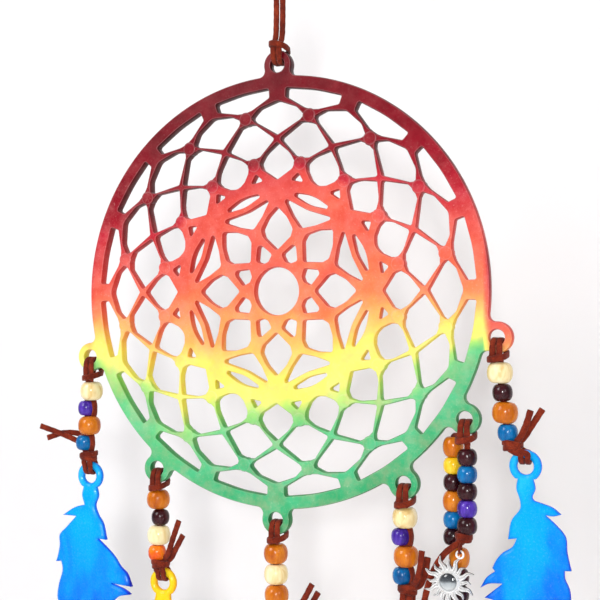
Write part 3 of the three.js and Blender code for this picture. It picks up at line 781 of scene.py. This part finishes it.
def build_strand(number, strand):
    body = f"strand_{number}"
    ear = polar(EAR_REACH, STRAND_EARS[number])
    places = bead_places(strand, ear[0])
    kx, kz = strand["knot"]
    left = strand_leg(places, -1)[::-1]
    right = strand_leg(places, 1)
    neck = strand["first_top"] + 0.5
    turns = hitch(
        ear,
        1,
        strand["collar"],
        [*left, (places[0][2] - 0.7, -1.9, neck)],
        [(places[0][2] + 0.7, -1.6, neck), *right],
    )
    first, second = strand["tails"]
    left_loop = eyelet_loop(strand["knot"], strand["hole"], -1)[::-1]
    right_loop = eyelet_loop(strand["knot"], strand["hole"], 1)
    controls = [
        *first[::-1],
        (kx, 1.3, kz + 0.9, *BACK),
        *left_loop,
        (kx - 0.5, -0.9, kz + 1.0),
        *turns,
        (kx + 0.5, -0.2, kz + 1.0),
        *right_loop,
        (kx, 1.0, kz + 0.2, *BACK),
        *second,
    ]
    lean = strand.get("knot_lean", KNOT_LEAN)
    knot = knot_piece(f"lace_knot_{number}", (kx, 0, kz), strand["knot_height"], body, lean)
    hung_lace(f"suede_lace_{number}", controls, body, [f"lace_{number}"])
    return places


bead_list = []  # (number, body, size, colour, x, y, z)
for number, strand in STRANDS.items():
    for i, (size, colour, _, x, z) in enumerate(build_strand(number, strand), 1):
        bead_list.append((f"{number}_{i}", f"strand_{number}", size, colour, x, 0.0, z))

# The double strand: one lace that comes down both columns of beads. A column is the x and y of
# its middle, the z of its top, and its beads from there down.
RIGHT_COLUMN = (80.7, -2.0, -61.6, "small dark, small blue, small dark, small purple, small dark")
LEFT_COLUMN = (
    73.9,
    2.5,
    -57.5,
    "middle orange, small yellow, small dark, middle orange, small blue, small dark",
)
JOINED_COLUMN = (77.0, 0.0, -100.2, "middle orange, small dark, small dark")
SPLIT_KNOT, END_KNOT = (79.4, -2.0, -96.1), (77.0, 0.0, -124.0)


def column(prefix, x, y, top, beads):
    """Lists a column's beads, and returns the lace's controls inside them."""
    route = []
    for i, kind in enumerate(beads.split(", "), 1):
        size, colour = kind.split()
        height = BEADS[size]["height"]
        z = top - height / 2
        bead_list.append((f"5_{prefix}_{i}", "strand_5", size, colour, x, y, z))
        route.append((x, y, z, *FRONT, BORE_SQUEEZE))
        top -= height + DOUBLE_GAP
    return route


right_route = column("right", *RIGHT_COLUMN)
left_route = column("left", *LEFT_COLUMN)
joined_route = column("lower", *JOINED_COLUMN)

LONG_TAIL = (
    (63.4, -2.4, -127.0),
    (63.8, -2.6, -121.5),
    (65.8, -3.2, -114.0),
    (68.8, -4.2, -107.4),
    (72.4, -4.9, -102.2),
    (76.2, -4.9, -98.9),
)


def build_double_strand():
    ear = polar(EAR_REACH, STRAND_EARS[5])
    split_x, split_y, split_z = SPLIT_KNOT
    foot_left = [*left_route[::-1], (74.1, 2.3, -57.6, -0.4, -0.9, 0), (76.2, 0.2, -57.0, -0.3, -0.9, 0)]
    foot_right = [(81.0, -3.0, -60.4), *right_route]
    turns = hitch(ear, 1, -8.0, foot_left, foot_right)
    down_right = [
        *turns[len(foot_left) :],
        (split_x, split_y - 0.2, split_z + 1.6),
        (split_x, split_y - 0.6, split_z - 0.6),
        *[(*p, 0.1, -1, 0.1) for p in LONG_TAIL[::-1]],
    ]
    up_left = [
        (77.4, -0.6, -130.0),
        (77.0, 0, -124.0),
        *joined_route[::-1],
        (76.4, 0.6, -100.2),
        (74.4, 2.2, -99.6),
        *foot_left,
    ]
    split = knot_piece("lace_knot_5_split", SPLIT_KNOT, 3.4, "strand_5", -0.1, 2.6)
    end = knot_piece("lace_knot_5_end", END_KNOT, 3.4, "strand_5", 0.12, 3.0)
    loop = charm_loop()
    nodes = ["lace_5", "lace_5_left", "lace_5_tail"]
    hung_lace("suede_lace_5", [*up_left, *down_right], "strand_5", nodes)


CHARM = (74.6, -6.2, -112.4)
BAIL_ANGLE, BAIL_REACH = 22.5, 11.6
BAIL_RING, BAIL_WIRE = 1.4, 0.4
BAIL_X, BAIL_Z = (a + b for a, b in zip((CHARM[0], CHARM[2]), polar(BAIL_REACH, BAIL_ANGLE)))
BAIL_Y = CHARM[1] - 0.25


def charm_loop():
    """The thin lace loop that the charm's ring hangs on."""
    top = BAIL_Z + BAIL_RING
    controls = [
        (79.3, -3.4, -96.9, 0, 0, 1),
        (79.1, -5.2, -97.6, 0, -0.4, 0.9),
        (BAIL_X, -7.3, -98.8, 0, -1, 0.2),
        (BAIL_X, -7.55, top, 0, -1, -0.2),
        (BAIL_X, -6.5, top - 1.0, 0, 0, -1),
        (BAIL_X, -5.5, top, 0, 1, 0),
        (BAIL_X, -5.2, -98.9, 0, 1, 0.2),
        (79.2, -4.2, -97.6, 0, 0.6, 0.8),
        (79.4, -2.8, -97.0, 0, 0.2, 1),
    ]
    points, faces, _ = sweep(controls, 1.0, 0.55, 0.3)
    return add_piece("charm_lace_loop", points, faces, "suede", "strand_5")


build_double_strand()

# The hanging cord: hitched round the top ear, knotted, and open at the top for a hook.
CORD_EXIT, CORD_KNOT_Z = (0, 0, 103.0), 130.0
LOOP_TOP, LOOP_HALF = DISC_DROP + LACE_THICKNESS / 2, 5.5


def build_hanging_cord():
    ear = polar(EAR_REACH, TOP_EAR)
    leg = [(103.4, 2.2), (106.5, 0.6), (112, 0.1), (119, 0.0), (125, 0.3)]
    left = [(-LEG_HALF - 0.1, -y, z) for z, y in leg]
    right = [(LEG_HALF + 0.1, -y, z) for z, y in leg]
    turns = hitch(ear, -1, -8.3, left[::-1], right)
    loop = [
        (0.7, 0.6, 129.0, 0.3, -1, 0),
        (2.6, 0.2, 135.0, 0.9, -0.5, -0.2),
        (LOOP_HALF - 0.9, 0, 140.5, 1, 0, -0.1),
        (LOOP_HALF, 0, 145.0, 1, 0, 0),
        (0.82 * LOOP_HALF, 0, 149.6, 0.8, 0, 0.6),
        (0, 0, LOOP_TOP, 0, 0, 1),
    ]
    loop_left = [(-x, -y, z, -nx, ny, nz) for x, y, z, nx, ny, nz in loop[:-1]][::-1]
    controls = [
        (-8.2, -2.2, 131.5),
        (-4.9, -2.0, 129.2),
        (-1.4, -1.0, 129.2),
        *turns,
        (0.9, 0.2, 129.4),
        *loop,
        *loop_left,
        (0.6, -0.7, 130.2),
        (4.8, -1.6, 129.6),
        (8.4, -2.0, 132.6),
    ]
    knot = knot_piece("hanging_knot", (0, 0, CORD_KNOT_Z), 5.4, "disc", 0.12, 3.6)
    hung_lace("hanging_lace", controls, "disc", ["hanging_cord"])


build_hanging_cord()

# ---------- beads

BEAD_SEGMENTS, BEAD_STEPS = 40, 16
BEAD_EDGE = 0.3  # how wide the flat ring round a bore is
MOST_TILT = 0.05  # of a bead from upright, in radians


def add_bead(name, body, size, colour, x, y, z):
    """A turned barrel bead with a full belly, softened rims and a bore."""
    spec = BEADS[size]
    radius, half, bore = spec["radius"], spec["height"] / 2, spec["bore"]
    rim = bore + BEAD_EDGE
    mouth = [(bore, 0.82 * half), (bore + 0.06, 0.95 * half), (rim - 0.1, half)]
    profile = mouth[:]
    full = 2 / spec["fullness"]
    for k in range(BEAD_STEPS + 1):
        a = math.pi * k / BEAD_STEPS
        bulge = math.sin(a) ** full
        rise = math.copysign(abs(math.cos(a)) ** full, math.cos(a))
        profile.append((rim + (radius - rim) * bulge, half * rise))
    profile += [(r, -h) for r, h in mouth[::-1]]
    tilt = MOST_TILT * math.sin(7.3 * x + 3.1 * z)
    cos_tilt, sin_tilt = math.cos(tilt), math.sin(tilt)
    points = []
    for r, h in profile:
        for k in range(BEAD_SEGMENTS):
            a = 2 * math.pi * k / BEAD_SEGMENTS
            dx, dy = r * math.cos(a), r * math.sin(a)
            across, up = dx * cos_tilt + h * sin_tilt, h * cos_tilt - dx * sin_tilt
            points.append((x + across, y + dy, z + up))
    faces = flipped(tube_faces(len(profile), BEAD_SEGMENTS, closed=True))
    add_piece(f"wood_bead_{name}", points, faces, f"bead_{colour}", body, [f"bead_{name}"])


for bead in bead_list:
    add_bead(*bead)

# ---------- cast slabs


def angle_of(vector):
    return math.atan2(vector[1], vector[0])


def shorter_turn(start, end):
    return (end - start + math.pi) % (2 * math.pi) - math.pi


def arc(centre, radius, start, end, steps):
    angles = np.linspace(start, end, steps)
    return [(centre[0] + radius * math.cos(a), centre[1] + radius * math.sin(a)) for a in angles]


WIDEST_STEP = 0.32  # between two points of a tight fillet, in radians
STRAIGHT = math.radians(89)  # half the angle of a corner that counts as none


def filleted(corners, spacing=0.9):
    """A closed outline through corners of (x, z, fillet), each rounded by an arc."""
    outline = []
    n = len(corners)
    for i, (x, z, fillet) in enumerate(corners):
        here = np.array((x, z))
        before, after = np.array(corners[i - 1][:2]) - here, np.array(corners[(i + 1) % n][:2]) - here
        room = 0.49 * min(np.linalg.norm(before), np.linalg.norm(after))
        before, after = before / np.linalg.norm(before), after / np.linalg.norm(after)
        half = math.acos(max(-1, min(1, float(before @ after)))) / 2
        if half > STRAIGHT:
            outline.append((x, z))
            continue
        cut = min(fillet / math.tan(half), room)
        radius = cut * math.tan(half)
        middle = here + (before + after) / np.linalg.norm(before + after) * radius / math.sin(half)
        start, end = here + before * cut - middle, here + after * cut - middle
        turn = shorter_turn(angle_of(start), angle_of(end))
        steps = max(3, round(abs(turn) * radius / spacing * 2), round(abs(turn) / WIDEST_STEP))
        outline += arc(middle, radius, angle_of(start), angle_of(start) + turn, steps + 1)
    return outline


def resampled(outline, spacing):
    """The outline with its long edges divided, and points that lie together dropped."""
    rows = []
    for i, point in enumerate(outline):
        after = outline[(i + 1) % len(outline)]
        gap = math.dist(point, after)
        if gap < 1e-3:
            continue
        count = max(1, math.ceil(gap / spacing))
        for k in range(count):
            t = k / count
            rows.append((point[0] + (after[0] - point[0]) * t, point[1] + (after[1] - point[1]) * t))
    return np.array(rows)


def inward(outline, solid_inside):
    """Unit steps from the outline into the material."""
    ahead, behind = np.roll(outline, -1, 0) - outline, outline - np.roll(outline, 1, 0)
    along = unit(unit(ahead) + unit(behind))
    area = (outline[:, 0] * np.roll(outline[:, 1], -1) - np.roll(outline[:, 0], -1) * outline[:, 1]).sum()
    left = np.stack([-along[:, 1], along[:, 0]], 1)
    return left if (area > 0) == solid_inside else -left


TRIANGLES_INSIDE = 1  # what delaunay_2d_cdt is asked for
ROOM_SHARE = 0.8  # of the room inside an outline that its rounded edge may take


def edge_room(loops):
    """For each point of each loop, the radius of the widest circle that touches the outline
    there and lies in the material."""
    everything = np.vstack([outline for outline, _ in loops])
    rooms = []
    for outline, step in loops:
        apart = everything[None] - outline[:, None]
        ahead = (apart * step[:, None]).sum(2)
        square = (apart**2).sum(2)
        radius = np.where(ahead > 1e-6, square / (2 * np.maximum(ahead, 1e-6)), np.inf)
        rooms.append(radius.min(1))
    return rooms


def slab(rim, holes, profile):
    """A flat casting with openings. profile lists the edge from front to back, as
    (how far it lies inside the outline, y)."""
    loops = [(rim, inward(rim, True))] + [(hole, inward(hole, False)) for hole in holes]
    deepest = max(depth for depth, _ in profile)
    points, faces, rings = [], [], []
    for (outline, step), room in zip(loops, edge_room(loops)):
        share = np.minimum(1, ROOM_SHARE * room / deepest)[:, None]
        start, count = len(points), len(outline)
        for depth, y in profile:
            moved = outline + step * depth * (share if depth > 0 else 1)
            points += [(x, y, z) for x, z in moved]
        faces += [tuple(start + i for i in face) for face in tube_faces(len(profile), count)]
        rings.append((start, count))
    back = [(start + (len(profile) - 1) * count, count) for start, count in rings]
    return points, faces + flipped(cap(points, rings)) + cap(points, back)


def cap(points, rings):
    """The flat face, looking to the back, that lies between one ring of every loop. rings are
    (first point, count), and the first of them is the rim's."""
    flat, owners, edges = [], [], []
    for loop, (start, count) in enumerate(rings):
        first = len(flat)
        for k in range(count):
            x, _, z = points[start + k]
            flat.append(Vector((x, z)))
            owners.append((loop, start + k))
            edges.append((first + k, first + (k + 1) % count))
    _, _, triangles, source, _, _ = delaunay_2d_cdt(flat, edges, [], TRIANGLES_INSIDE, 1e-6)
    outlines = [np.array(points[start : start + count])[:, ::2] for start, count in rings]
    faces = []
    for triangle in triangles:
        corners = [owners[source[i][0]] for i in triangle if source[i]]
        if len(corners) < 3:
            continue
        loops = {loop for loop, _ in corners}
        if len(loops) == 1:
            loop = loops.pop()
            middle = sum((flat[source[i][0]] for i in triangle), Vector((0, 0))) / 3
            if inside(outlines[loop], middle) != (loop == 0):
                continue
        faces.append(tuple(point for _, point in corners))
    return faces


def inside(outline, point):
    x, z = point
    x0, z0 = outline[:, 0], outline[:, 1]
    x1, z1 = np.roll(x0, -1), np.roll(z0, -1)
    spans = (z0 > z) != (z1 > z)
    cross = x0[spans] + (z - z0[spans]) * (x1[spans] - x0[spans]) / (z1[spans] - z0[spans])
    return bool((cross > x).sum() % 2)


FLAT = 0.999  # how squarely a face looks to the front or the back to count as flat


def finish_slab(piece):
    """Keeps the flat faces flat in the shading and the edges round."""
    mesh, sides = piece.data, {}
    for polygon in mesh.polygons:
        for key in polygon.edge_keys:
            sides.setdefault(key, set()).add(abs(polygon.normal.y) > FLAT)
    for edge in mesh.edges:
        edge.use_edge_sharp = len(sides[edge.key]) > 1
    modifier = piece.modifiers.new("normals", "WEIGHTED_NORMAL")
    modifier.weight = 60
    modifier.keep_sharp = True


# ---------- the mandala disc

DISC_RADIUS, RING_HOLE = 89.75, 9.9
EAR_FILLET = 2.6
# Each kind of opening repeats round the disc, as (how often, degrees to the first, half its
# outline). That half runs from the corner furthest from the middle to the nearest, as
# (radius, degrees from its axis, fillet).
OPENINGS = (
    (8, 22.5, ((20.8, 0, 0.9), (15.4, 11.6, 0.5), (13.3, 4, 4), (13.3, 0, 6))),
    (8, 0, ((34.5, 0, 0.6), (30.6, 7.7, 9), (26.4, 14.3, 1.4), (23.6, 14.0, 1.4), (17.6, 0, 0.6))),
    (8, 22.5, ((35.3, 0, 14), (37.8, 16.3, 0.25), (32.3, 9.7, 9), (28.4, 0, 1.6))),
    (8, 22.5, ((41.8, 0, 20), (40.7, 11.6, 0.22), (38.5, 0, 16))),
    (8, 0, ((61.8, 0, 0.7), (57.4, 5.7, 9), (53.9, 8.3, 1.6), (51.2, 7.5, 1.6), (46.4, 0, 0.8))),
    (
        8,
        22.5,
        ((62, 0, 1.2), (57, 6.2, 9), (53.9, 8.3, 1.6), (51.2, 7.4, 2.5), (48.2, 4.4, 2.5), (46.5, 0, 5)),
    ),
    (16, 11.25, ((71, 0, 3), (70.4, 2.9, 1), (63.4, 10, 0.8), (56.8, 3.4, 1), (56.1, 0, 3))),
    (16, 0, ((79.2, 0, 4), (76.7, 6.3, 4), (73.6, 9.2, 0.9), (71.7, 8.2, 1), (65.1, 0, 0.7))),
    (16, 11.25, ((84.4, 0, 60), (84.4, 8.5, 0.7), (80.8, 8.5, 0.8), (76.9, 2.6, 1), (76.3, 0, 3))),
)
SMALL_OPENING = ((46.4, 8.0, 0.45), (46.4, 14.6, 0.45), (49.6, 11.1, 0.6))
OPENING_STEP = 2.2
STAR_POINTS = 8
STAR_RADIUS, STAR_GROWTH = 46, 0.42  # the bars are slimmer this near the middle
DISC_PROFILE = (
    (0.55, -DISC_HALF),
    (0.32, -2.4),
    (0.15, -2.1),
    (0.04, -1.5),
    (0.0, -0.6),
    (0.03, 0.5),
    (0.15, 1.4),
    (0.3, 2.05),
    (0.5, DISC_HALF),
)
NODE_RINGS = ((73.6, 11.25), (53.6, 11.25))  # radius and first angle of the lattice's nodes
NODE_SEGMENTS = 18
NODE_PROFILE = ((2.4, 2.3), (2.8, 1.6), (3.0, -1.9), (2.9, -2.4), (2.65, -2.66), (2.1, -2.76))


def opening(half, axis):
    whole = [(r, axis + a, f) for r, a, f in half]
    whole += [(r, axis - a, f) for r, a, f in half[::-1] if a > 0]
    return resampled(filleted([(*polar(r, a), f) for r, a, f in whole]), OPENING_STEP)


def round_hole(centre, radius, count):
    return np.array([polar(radius, 360 * k / count) for k in range(count)]) + np.array(centre)


def rim_outline():
    """The rim's circle with an ear at each place, joined to it by a small fillet."""
    ears = sorted(a % 360 for a in (TOP_EAR, *STRAND_EARS.values()))
    outline = []
    big, small = DISC_RADIUS + EAR_FILLET, EAR_RADIUS + EAR_FILLET
    # how far round the disc a fillet's middle lies from its ear
    spread = math.acos((big**2 + EAR_REACH**2 - small**2) / (2 * big * EAR_REACH))
    for ear, after in zip(ears, [*ears[1:], ears[0] + 360]):
        at = math.radians(90 - ear)
        ear_middle = np.array(polar(EAR_REACH, ear))
        fillets, ends = [], []
        for side in (1, -1):
            middle = big * np.array((math.cos(at + side * spread), math.sin(at + side * spread)))
            start, end = angle_of(-middle), angle_of(ear_middle - middle)
            fillets.append(arc(middle, EAR_FILLET, start, start + shorter_turn(start, end), 7))
            ends.append(angle_of(middle - ear_middle))
        long_turn = (ends[1] - ends[0]) % (2 * math.pi) - 2 * math.pi
        outline += fillets[0]
        outline += arc(ear_middle, EAR_RADIUS, ends[0], ends[0] + long_turn, 36)
        outline += fillets[1][::-1]
        start, end = at - spread, math.radians(90 - after) + spread
        outline += arc((0, 0), DISC_RADIUS, start, end, max(3, round((start - end) * 60)))
    return resampled(outline, 3)


def node(middle):
    """The rounded lump where two bars of the lattice cross."""
    points, faces = turned(NODE_PROFILE, middle, NODE_SEGMENTS, close=False)
    return points, faces + end_faces(len(NODE_PROFILE), NODE_SEGMENTS)


def build_disc():
    holes = [round_hole((0, 0), RING_HOLE, 64)]
    for ear in (TOP_EAR, *STRAND_EARS.values()):
        holes.append(round_hole(polar(EAR_REACH, ear), EAR_HOLE, 28))
    for count, first, half in OPENINGS:
        for i in range(count):
            hole = opening(half, first + 360 * i / count)
            if max(radius for radius, *_ in half) < STAR_RADIUS:
                hole = hole + STAR_GROWTH * inward(hole, False)
            holes.append(hole)
    for i in range(STAR_POINTS):
        for side in (1, -1):
            axis = 360 * i / STAR_POINTS
            corners = [(*polar(r, axis + side * a), f) for r, a, f in SMALL_OPENING]
            holes.append(resampled(filleted(corners), OPENING_STEP))
    parts = [slab(rim_outline(), holes, DISC_PROFILE)]
    for radius, first in NODE_RINGS:
        for i in range(2 * STAR_POINTS):
            parts.append(node(polar(radius, first + 180 * i / STAR_POINTS)))
    finish_slab(add_piece("cast_mandala", *join_parts(parts), "resin_disc", "disc", ["mandala_disc"]))


build_disc()

# ---------- feathers

EYELET_RADIUS, EYELET_HOLE, FEATHER_HALF = 6.2, 3.2, 1.25
FEATHER_PROFILE = (
    (1.4, -FEATHER_HALF),
    (0.7, -FEATHER_HALF + 0.3),
    (0.2, -FEATHER_HALF + 0.6),
    (0.05, -FEATHER_HALF + 0.85),
    (0.0, 0.3),
    (0.02, FEATHER_HALF - 0.3),
    (0.25, FEATHER_HALF),
)
# Each feather's outline, as (x, z) from its eyelet's middle, clockwise from the neck's right.
LONG_FEATHER = (
    (3.3, -4.9), (4.1, -8.6), (2.7, -12.8), (4.2, -17), (6.6, -20.5), (8.4, -27.6), (4, -27.4),
    (8.6, -31), (12.6, -34.6), (15.8, -38.8), (19, -41.5), (21.4, -47), (10.9, -46.3), (18.2, -48.6),
    (20.9, -50.4), (14.6, -52), (11.6, -54.6), (15.4, -60.5), (12, -60.8), (13.6, -68), (8.2, -76),
    (3.4, -82.6), (-0.8, -86.5), (-3, -80.5), (-8.6, -76.6), (-7.2, -72.4), (-13.4, -66.4),
    (-12.2, -62), (-16.4, -55.5), (-16, -49.5), (-14, -42.2), (-14.7, -38.6), (-17.2, -38.9),
    (-15.6, -31.5), (-15.7, -27), (-12.3, -23.4), (-7.2, -18.2), (-13.9, -18), (-7.8, -14.2),
    (-2.8, -12.8), (-4.1, -8.6), (-3.3, -4.9),
)
BROAD_FEATHER = (
    (3.4, -4.9), (4, -9), (8.5, -12.2), (13.5, -15), (9.5, -16.2), (14.2, -22.5), (17.5, -30.5),
    (14.4, -30.2), (17.6, -38), (18, -46), (14.4, -44), (15.2, -52), (11, -62), (8, -60.5),
    (4.5, -70), (-1, -78), (-4.5, -71), (-9.5, -66), (-8.6, -61.5), (-14, -55.5), (-12.8, -51),
    (-17, -43.5), (-14.9, -39.5), (-17.2, -31), (-15.2, -24.5), (-16.4, -18.5), (-12.6, -14.4),
    (-16, -9.8), (-9, -10.4), (-4.6, -8.6), (-3.4, -4.9),
)
RIGHT_FEATHER = (
    (3, -4.9), (3.7, -8.6), (2.6, -11.6), (3.2, -12.8), (6, -13.7), (10.4, -15.2), (13.4, -17.6),
    (10.6, -18.4), (7.4, -18.1), (11.2, -21.3), (15.1, -25.9), (15.7, -31.9), (17.2, -38.4),
    (14.7, -38.5), (14.8, -41.4), (16.6, -45.6), (16.8, -51), (14, -57), (10.4, -62), (11.2, -66.4),
    (6.2, -72.4), (7, -76.6), (2.5, -80.5), (0.7, -86.5), (-2.8, -82.6), (-6.7, -76), (-11.2, -68),
    (-9.8, -60.8), (-12.6, -60.5), (-9.6, -54.6), (-12, -52), (-15.8, -51), (-12, -47.8),
    (-8.9, -45.2), (-14.2, -45.7), (-17.5, -47.5), (-15.1, -43.3), (-11.8, -40.7), (-12.8, -39.5),
    (-11.4, -36.5), (-8.9, -33.5), (-5, -30.8), (-3.4, -27.7), (-6.7, -28.1), (-5.4, -20.9),
    (-2, -16), (-2.2, -12.8), (-3.5, -8.6), (-3, -4.9),
)
SHARP = math.radians(118)  # a corner with a smaller angle than this stays a corner
FEATHERS = {
    1: (LONG_FEATHER, 1.0, "blue"),
    2: (BROAD_FEATHER, 1.0, "yellow"),
    3: (LONG_FEATHER, 1.0, "coral"),
    4: (BROAD_FEATHER, -1.0, "yellow"),
    6: (RIGHT_FEATHER, 1.0, "blue"),
}


def feather_outline(outline, width):
    """Smooth curves between the tips and notches, closed by the arc of the eyelet."""
    corners = [np.array(p, float) for p in outline]
    runs, run = [], [corners[0]]
    for i in range(1, len(corners)):
        run.append(corners[i])
        if i == len(corners) - 1:
            break
        before, after = corners[i - 1] - corners[i], corners[i + 1] - corners[i]
        cosine = before @ after / np.linalg.norm(before) / np.linalg.norm(after)
        if math.acos(max(-1, min(1, cosine))) < SHARP:
            runs.append(run)
            run = [corners[i]]
    runs.append(run)
    curve = []
    for run in runs:
        rows = spline([(p[0], 0, p[1]) for p in run], 0.8) if len(run) > 1 else np.array([run[0]])
        curve += [(r[0], r[2]) for r in rows[:-1]]
    curve.append(tuple(corners[-1]))
    start = angle_of(corners[-1])
    long_turn = (angle_of(corners[0]) - start) % (2 * math.pi) - 2 * math.pi
    curve += arc((0, 0), EYELET_RADIUS, start, start + long_turn, 40)[1:-1]
    scaled = [((width if z < -EYELET_RADIUS else math.copysign(1, width)) * x, z) for x, z in curve]
    return resampled(scaled, 1.5)


def build_feather(number, outline, width, colour):
    hx, hz = STRANDS[number]["hole"]
    rim = feather_outline(outline, width) + np.array((hx, hz))
    points, faces = slab(rim, [round_hole((hx, hz), EYELET_HOLE, 36)], FEATHER_PROFILE)
    slot, body, nodes = f"resin_feather_{colour}", f"pendant_{number}", [f"feather_{number}"]
    finish_slab(add_piece(f"cast_feather_{number}", points, faces, slot, body, nodes))


for number, spec in FEATHERS.items():
    build_feather(number, *spec)

# ---------- the sun charm

CHARM_RAYS, LONG_RAY, SHORT_RAY = 16, 10.3, 8.5
RAY_ROOT, RAY_STEPS = 4.2, 9
PLATE = ((0.05, -5.42), (4.9, -5.42), (4.9, -6.3), (0.05, -6.3))
BEZEL = (
    (3.38, -6.2),
    (4.5, -6.2),
    (4.42, -7.2),
    (4.15, -7.75),
    (3.85, -8.0),
    (3.55, -7.8),
    (3.38, -7.3),
)
STONE_RADIUS, STONE_FOOT, STONE_GIRDLE, STONE_RISE = 3.3, -6.35, -6.9, 1.15


def ray(angle, length):
    """A wavy flame-shaped ray with a groove down its middle."""
    side, sway = (1.15, 0.55) if length == LONG_RAY else (0.95, 0.4)
    rows = []
    for k in range(RAY_STEPS + 1):
        t = k / RAY_STEPS
        r = RAY_ROOT + (length - RAY_ROOT) * t
        bend = sway * math.sin(2.4 * math.pi * t) * (0.4 + 0.6 * t)
        wide = side * (1 - t) ** 0.62 + 0.1
        high = 1 - 0.35 * t
        half = ((1, -5.45), (1, -6.15), (0.62, -6.25 - 0.75 * high), (0.2, -6.2 - 0.1 * high))
        section = [*((-across, y) for across, y in half), *half[::-1]]
        sa, ca = polar(1, angle)
        for across, y in section:
            u = bend + across * wide
            rows.append((CHARM[0] + r * sa + u * ca, y, CHARM[2] + r * ca - u * sa))
    return rows, flipped(tube_faces(RAY_STEPS + 1, 8) + end_faces(RAY_STEPS + 1, 8))


def ring_profile(radius, wire, y, steps=12):
    return [
        (radius + wire * math.cos(2 * math.pi * k / steps), y + wire * math.sin(2 * math.pi * k / steps))
        for k in range(steps)
    ]


def build_charm():
    middle = (CHARM[0], CHARM[2])
    parts = []
    for i in range(CHARM_RAYS):
        parts.append(ray(BAIL_ANGLE + 360 * i / CHARM_RAYS, LONG_RAY if i % 2 == 0 else SHORT_RAY))
    bail = ring_profile(BAIL_RING, BAIL_WIRE, BAIL_Y)
    for part in (turned(PLATE, middle), turned(BEZEL, middle), turned(bail, (BAIL_X, BAIL_Z), 28)):
        parts.append((part[0], flipped(part[1])))
    piece = add_piece("cast_sun", *join_parts(parts), "silver", "sun", ["sun_charm"])
    piece.data.set_sharp_from_angle(angle=math.radians(48))
    dome = [(0.02, STONE_FOOT), (STONE_RADIUS, STONE_FOOT), (STONE_RADIUS, STONE_GIRDLE)]
    for k in range(1, 10):
        rise, run = (v * s for v, s in zip(polar(1, 10 * k), (STONE_RISE, STONE_RADIUS)))
        dome.append((run + 0.02, STONE_GIRDLE - rise))
    points, faces = turned(dome, middle, 48, close=False)
    add_piece("polished_stone", points, flipped(faces), "clear_stone", "sun", ["charm_stone"])


build_charm()

# ---------- the studio

WALL_Y, FLOOR_Z, STAGE_HALF = 0.15, -0.46, 3.0


def stage_plane(name, corners, look):
    mesh = bpy.data.meshes.new(name)
    mesh.from_pydata(corners, [], [(0, 1, 2, 3)])
    mesh.materials.append(look)
    plane = bpy.data.objects.new(name, mesh)
    bpy.context.collection.objects.link(plane)
    plane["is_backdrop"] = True


def wall_look():
    """White paint in front, and nothing at all when it is seen from behind."""
    look = Look("white_wall", Roughness=0.8, Base_Color=(0.85, 0.84, 0.85, 1))
    behind = look.node("ShaderNodeNewGeometry").outputs["Backfacing"]
    look.mix_shader(behind, look.node("ShaderNodeBsdfTransparent"))
    return look.material


def floor_look():
    return Look("pale_floor", Roughness=0.7, Base_Color=(0.82, 0.82, 0.82, 1)).material


H = STAGE_HALF
wall_corners = [(-H, WALL_Y, FLOOR_Z), (H, WALL_Y, FLOOR_Z), (H, WALL_Y, H), (-H, WALL_Y, H)]
floor_corners = [(-H, -H, FLOOR_Z), (H, -H, FLOOR_Z), (H, H, FLOOR_Z), (-H, H, FLOOR_Z)]
stage_plane("wall", wall_corners, wall_look())
stage_plane("floor", floor_corners, floor_look())


def softbox(name, azimuth, elevation, distance, size, power):
    data = bpy.data.lights.new(name, "AREA")
    data.shape = "RECTANGLE"
    data.size, data.size_y = size
    data.energy = power
    light = bpy.data.objects.new(name, data)
    way = direction(azimuth, elevation)
    light.location = AIM + way * distance
    light.rotation_euler = way.to_track_quat("Z", "Y").to_euler()
    light.visible_camera = False
    bpy.context.collection.objects.link(light)


softbox("key_light", -36, 30, 1.4, (0.5, 0.65), 10)
softbox("camera_light", 19, 5, 1.3, (0.16, 0.16), 8)
softbox("side_light", 50, 14, 1.3, (0.2, 0.3), 1.6)
softbox("back_light", 160, 35, 1.6, (0.9, 0.9), 4)

world = bpy.data.worlds.new("studio")
world.use_nodes = True
background = world.node_tree.nodes["Background"].inputs
background["Color"].default_value = (1.0, 1.0, 1.0, 1)
background["Strength"].default_value = 0.3
bpy.context.scene.world = world
bpy.context.scene.view_settings.view_transform = "Standard"

size = {
    "cad": [[float(v) for v in corner] for corner in cad_box],
    "visual": [[float(v) for v in corner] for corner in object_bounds()],
}
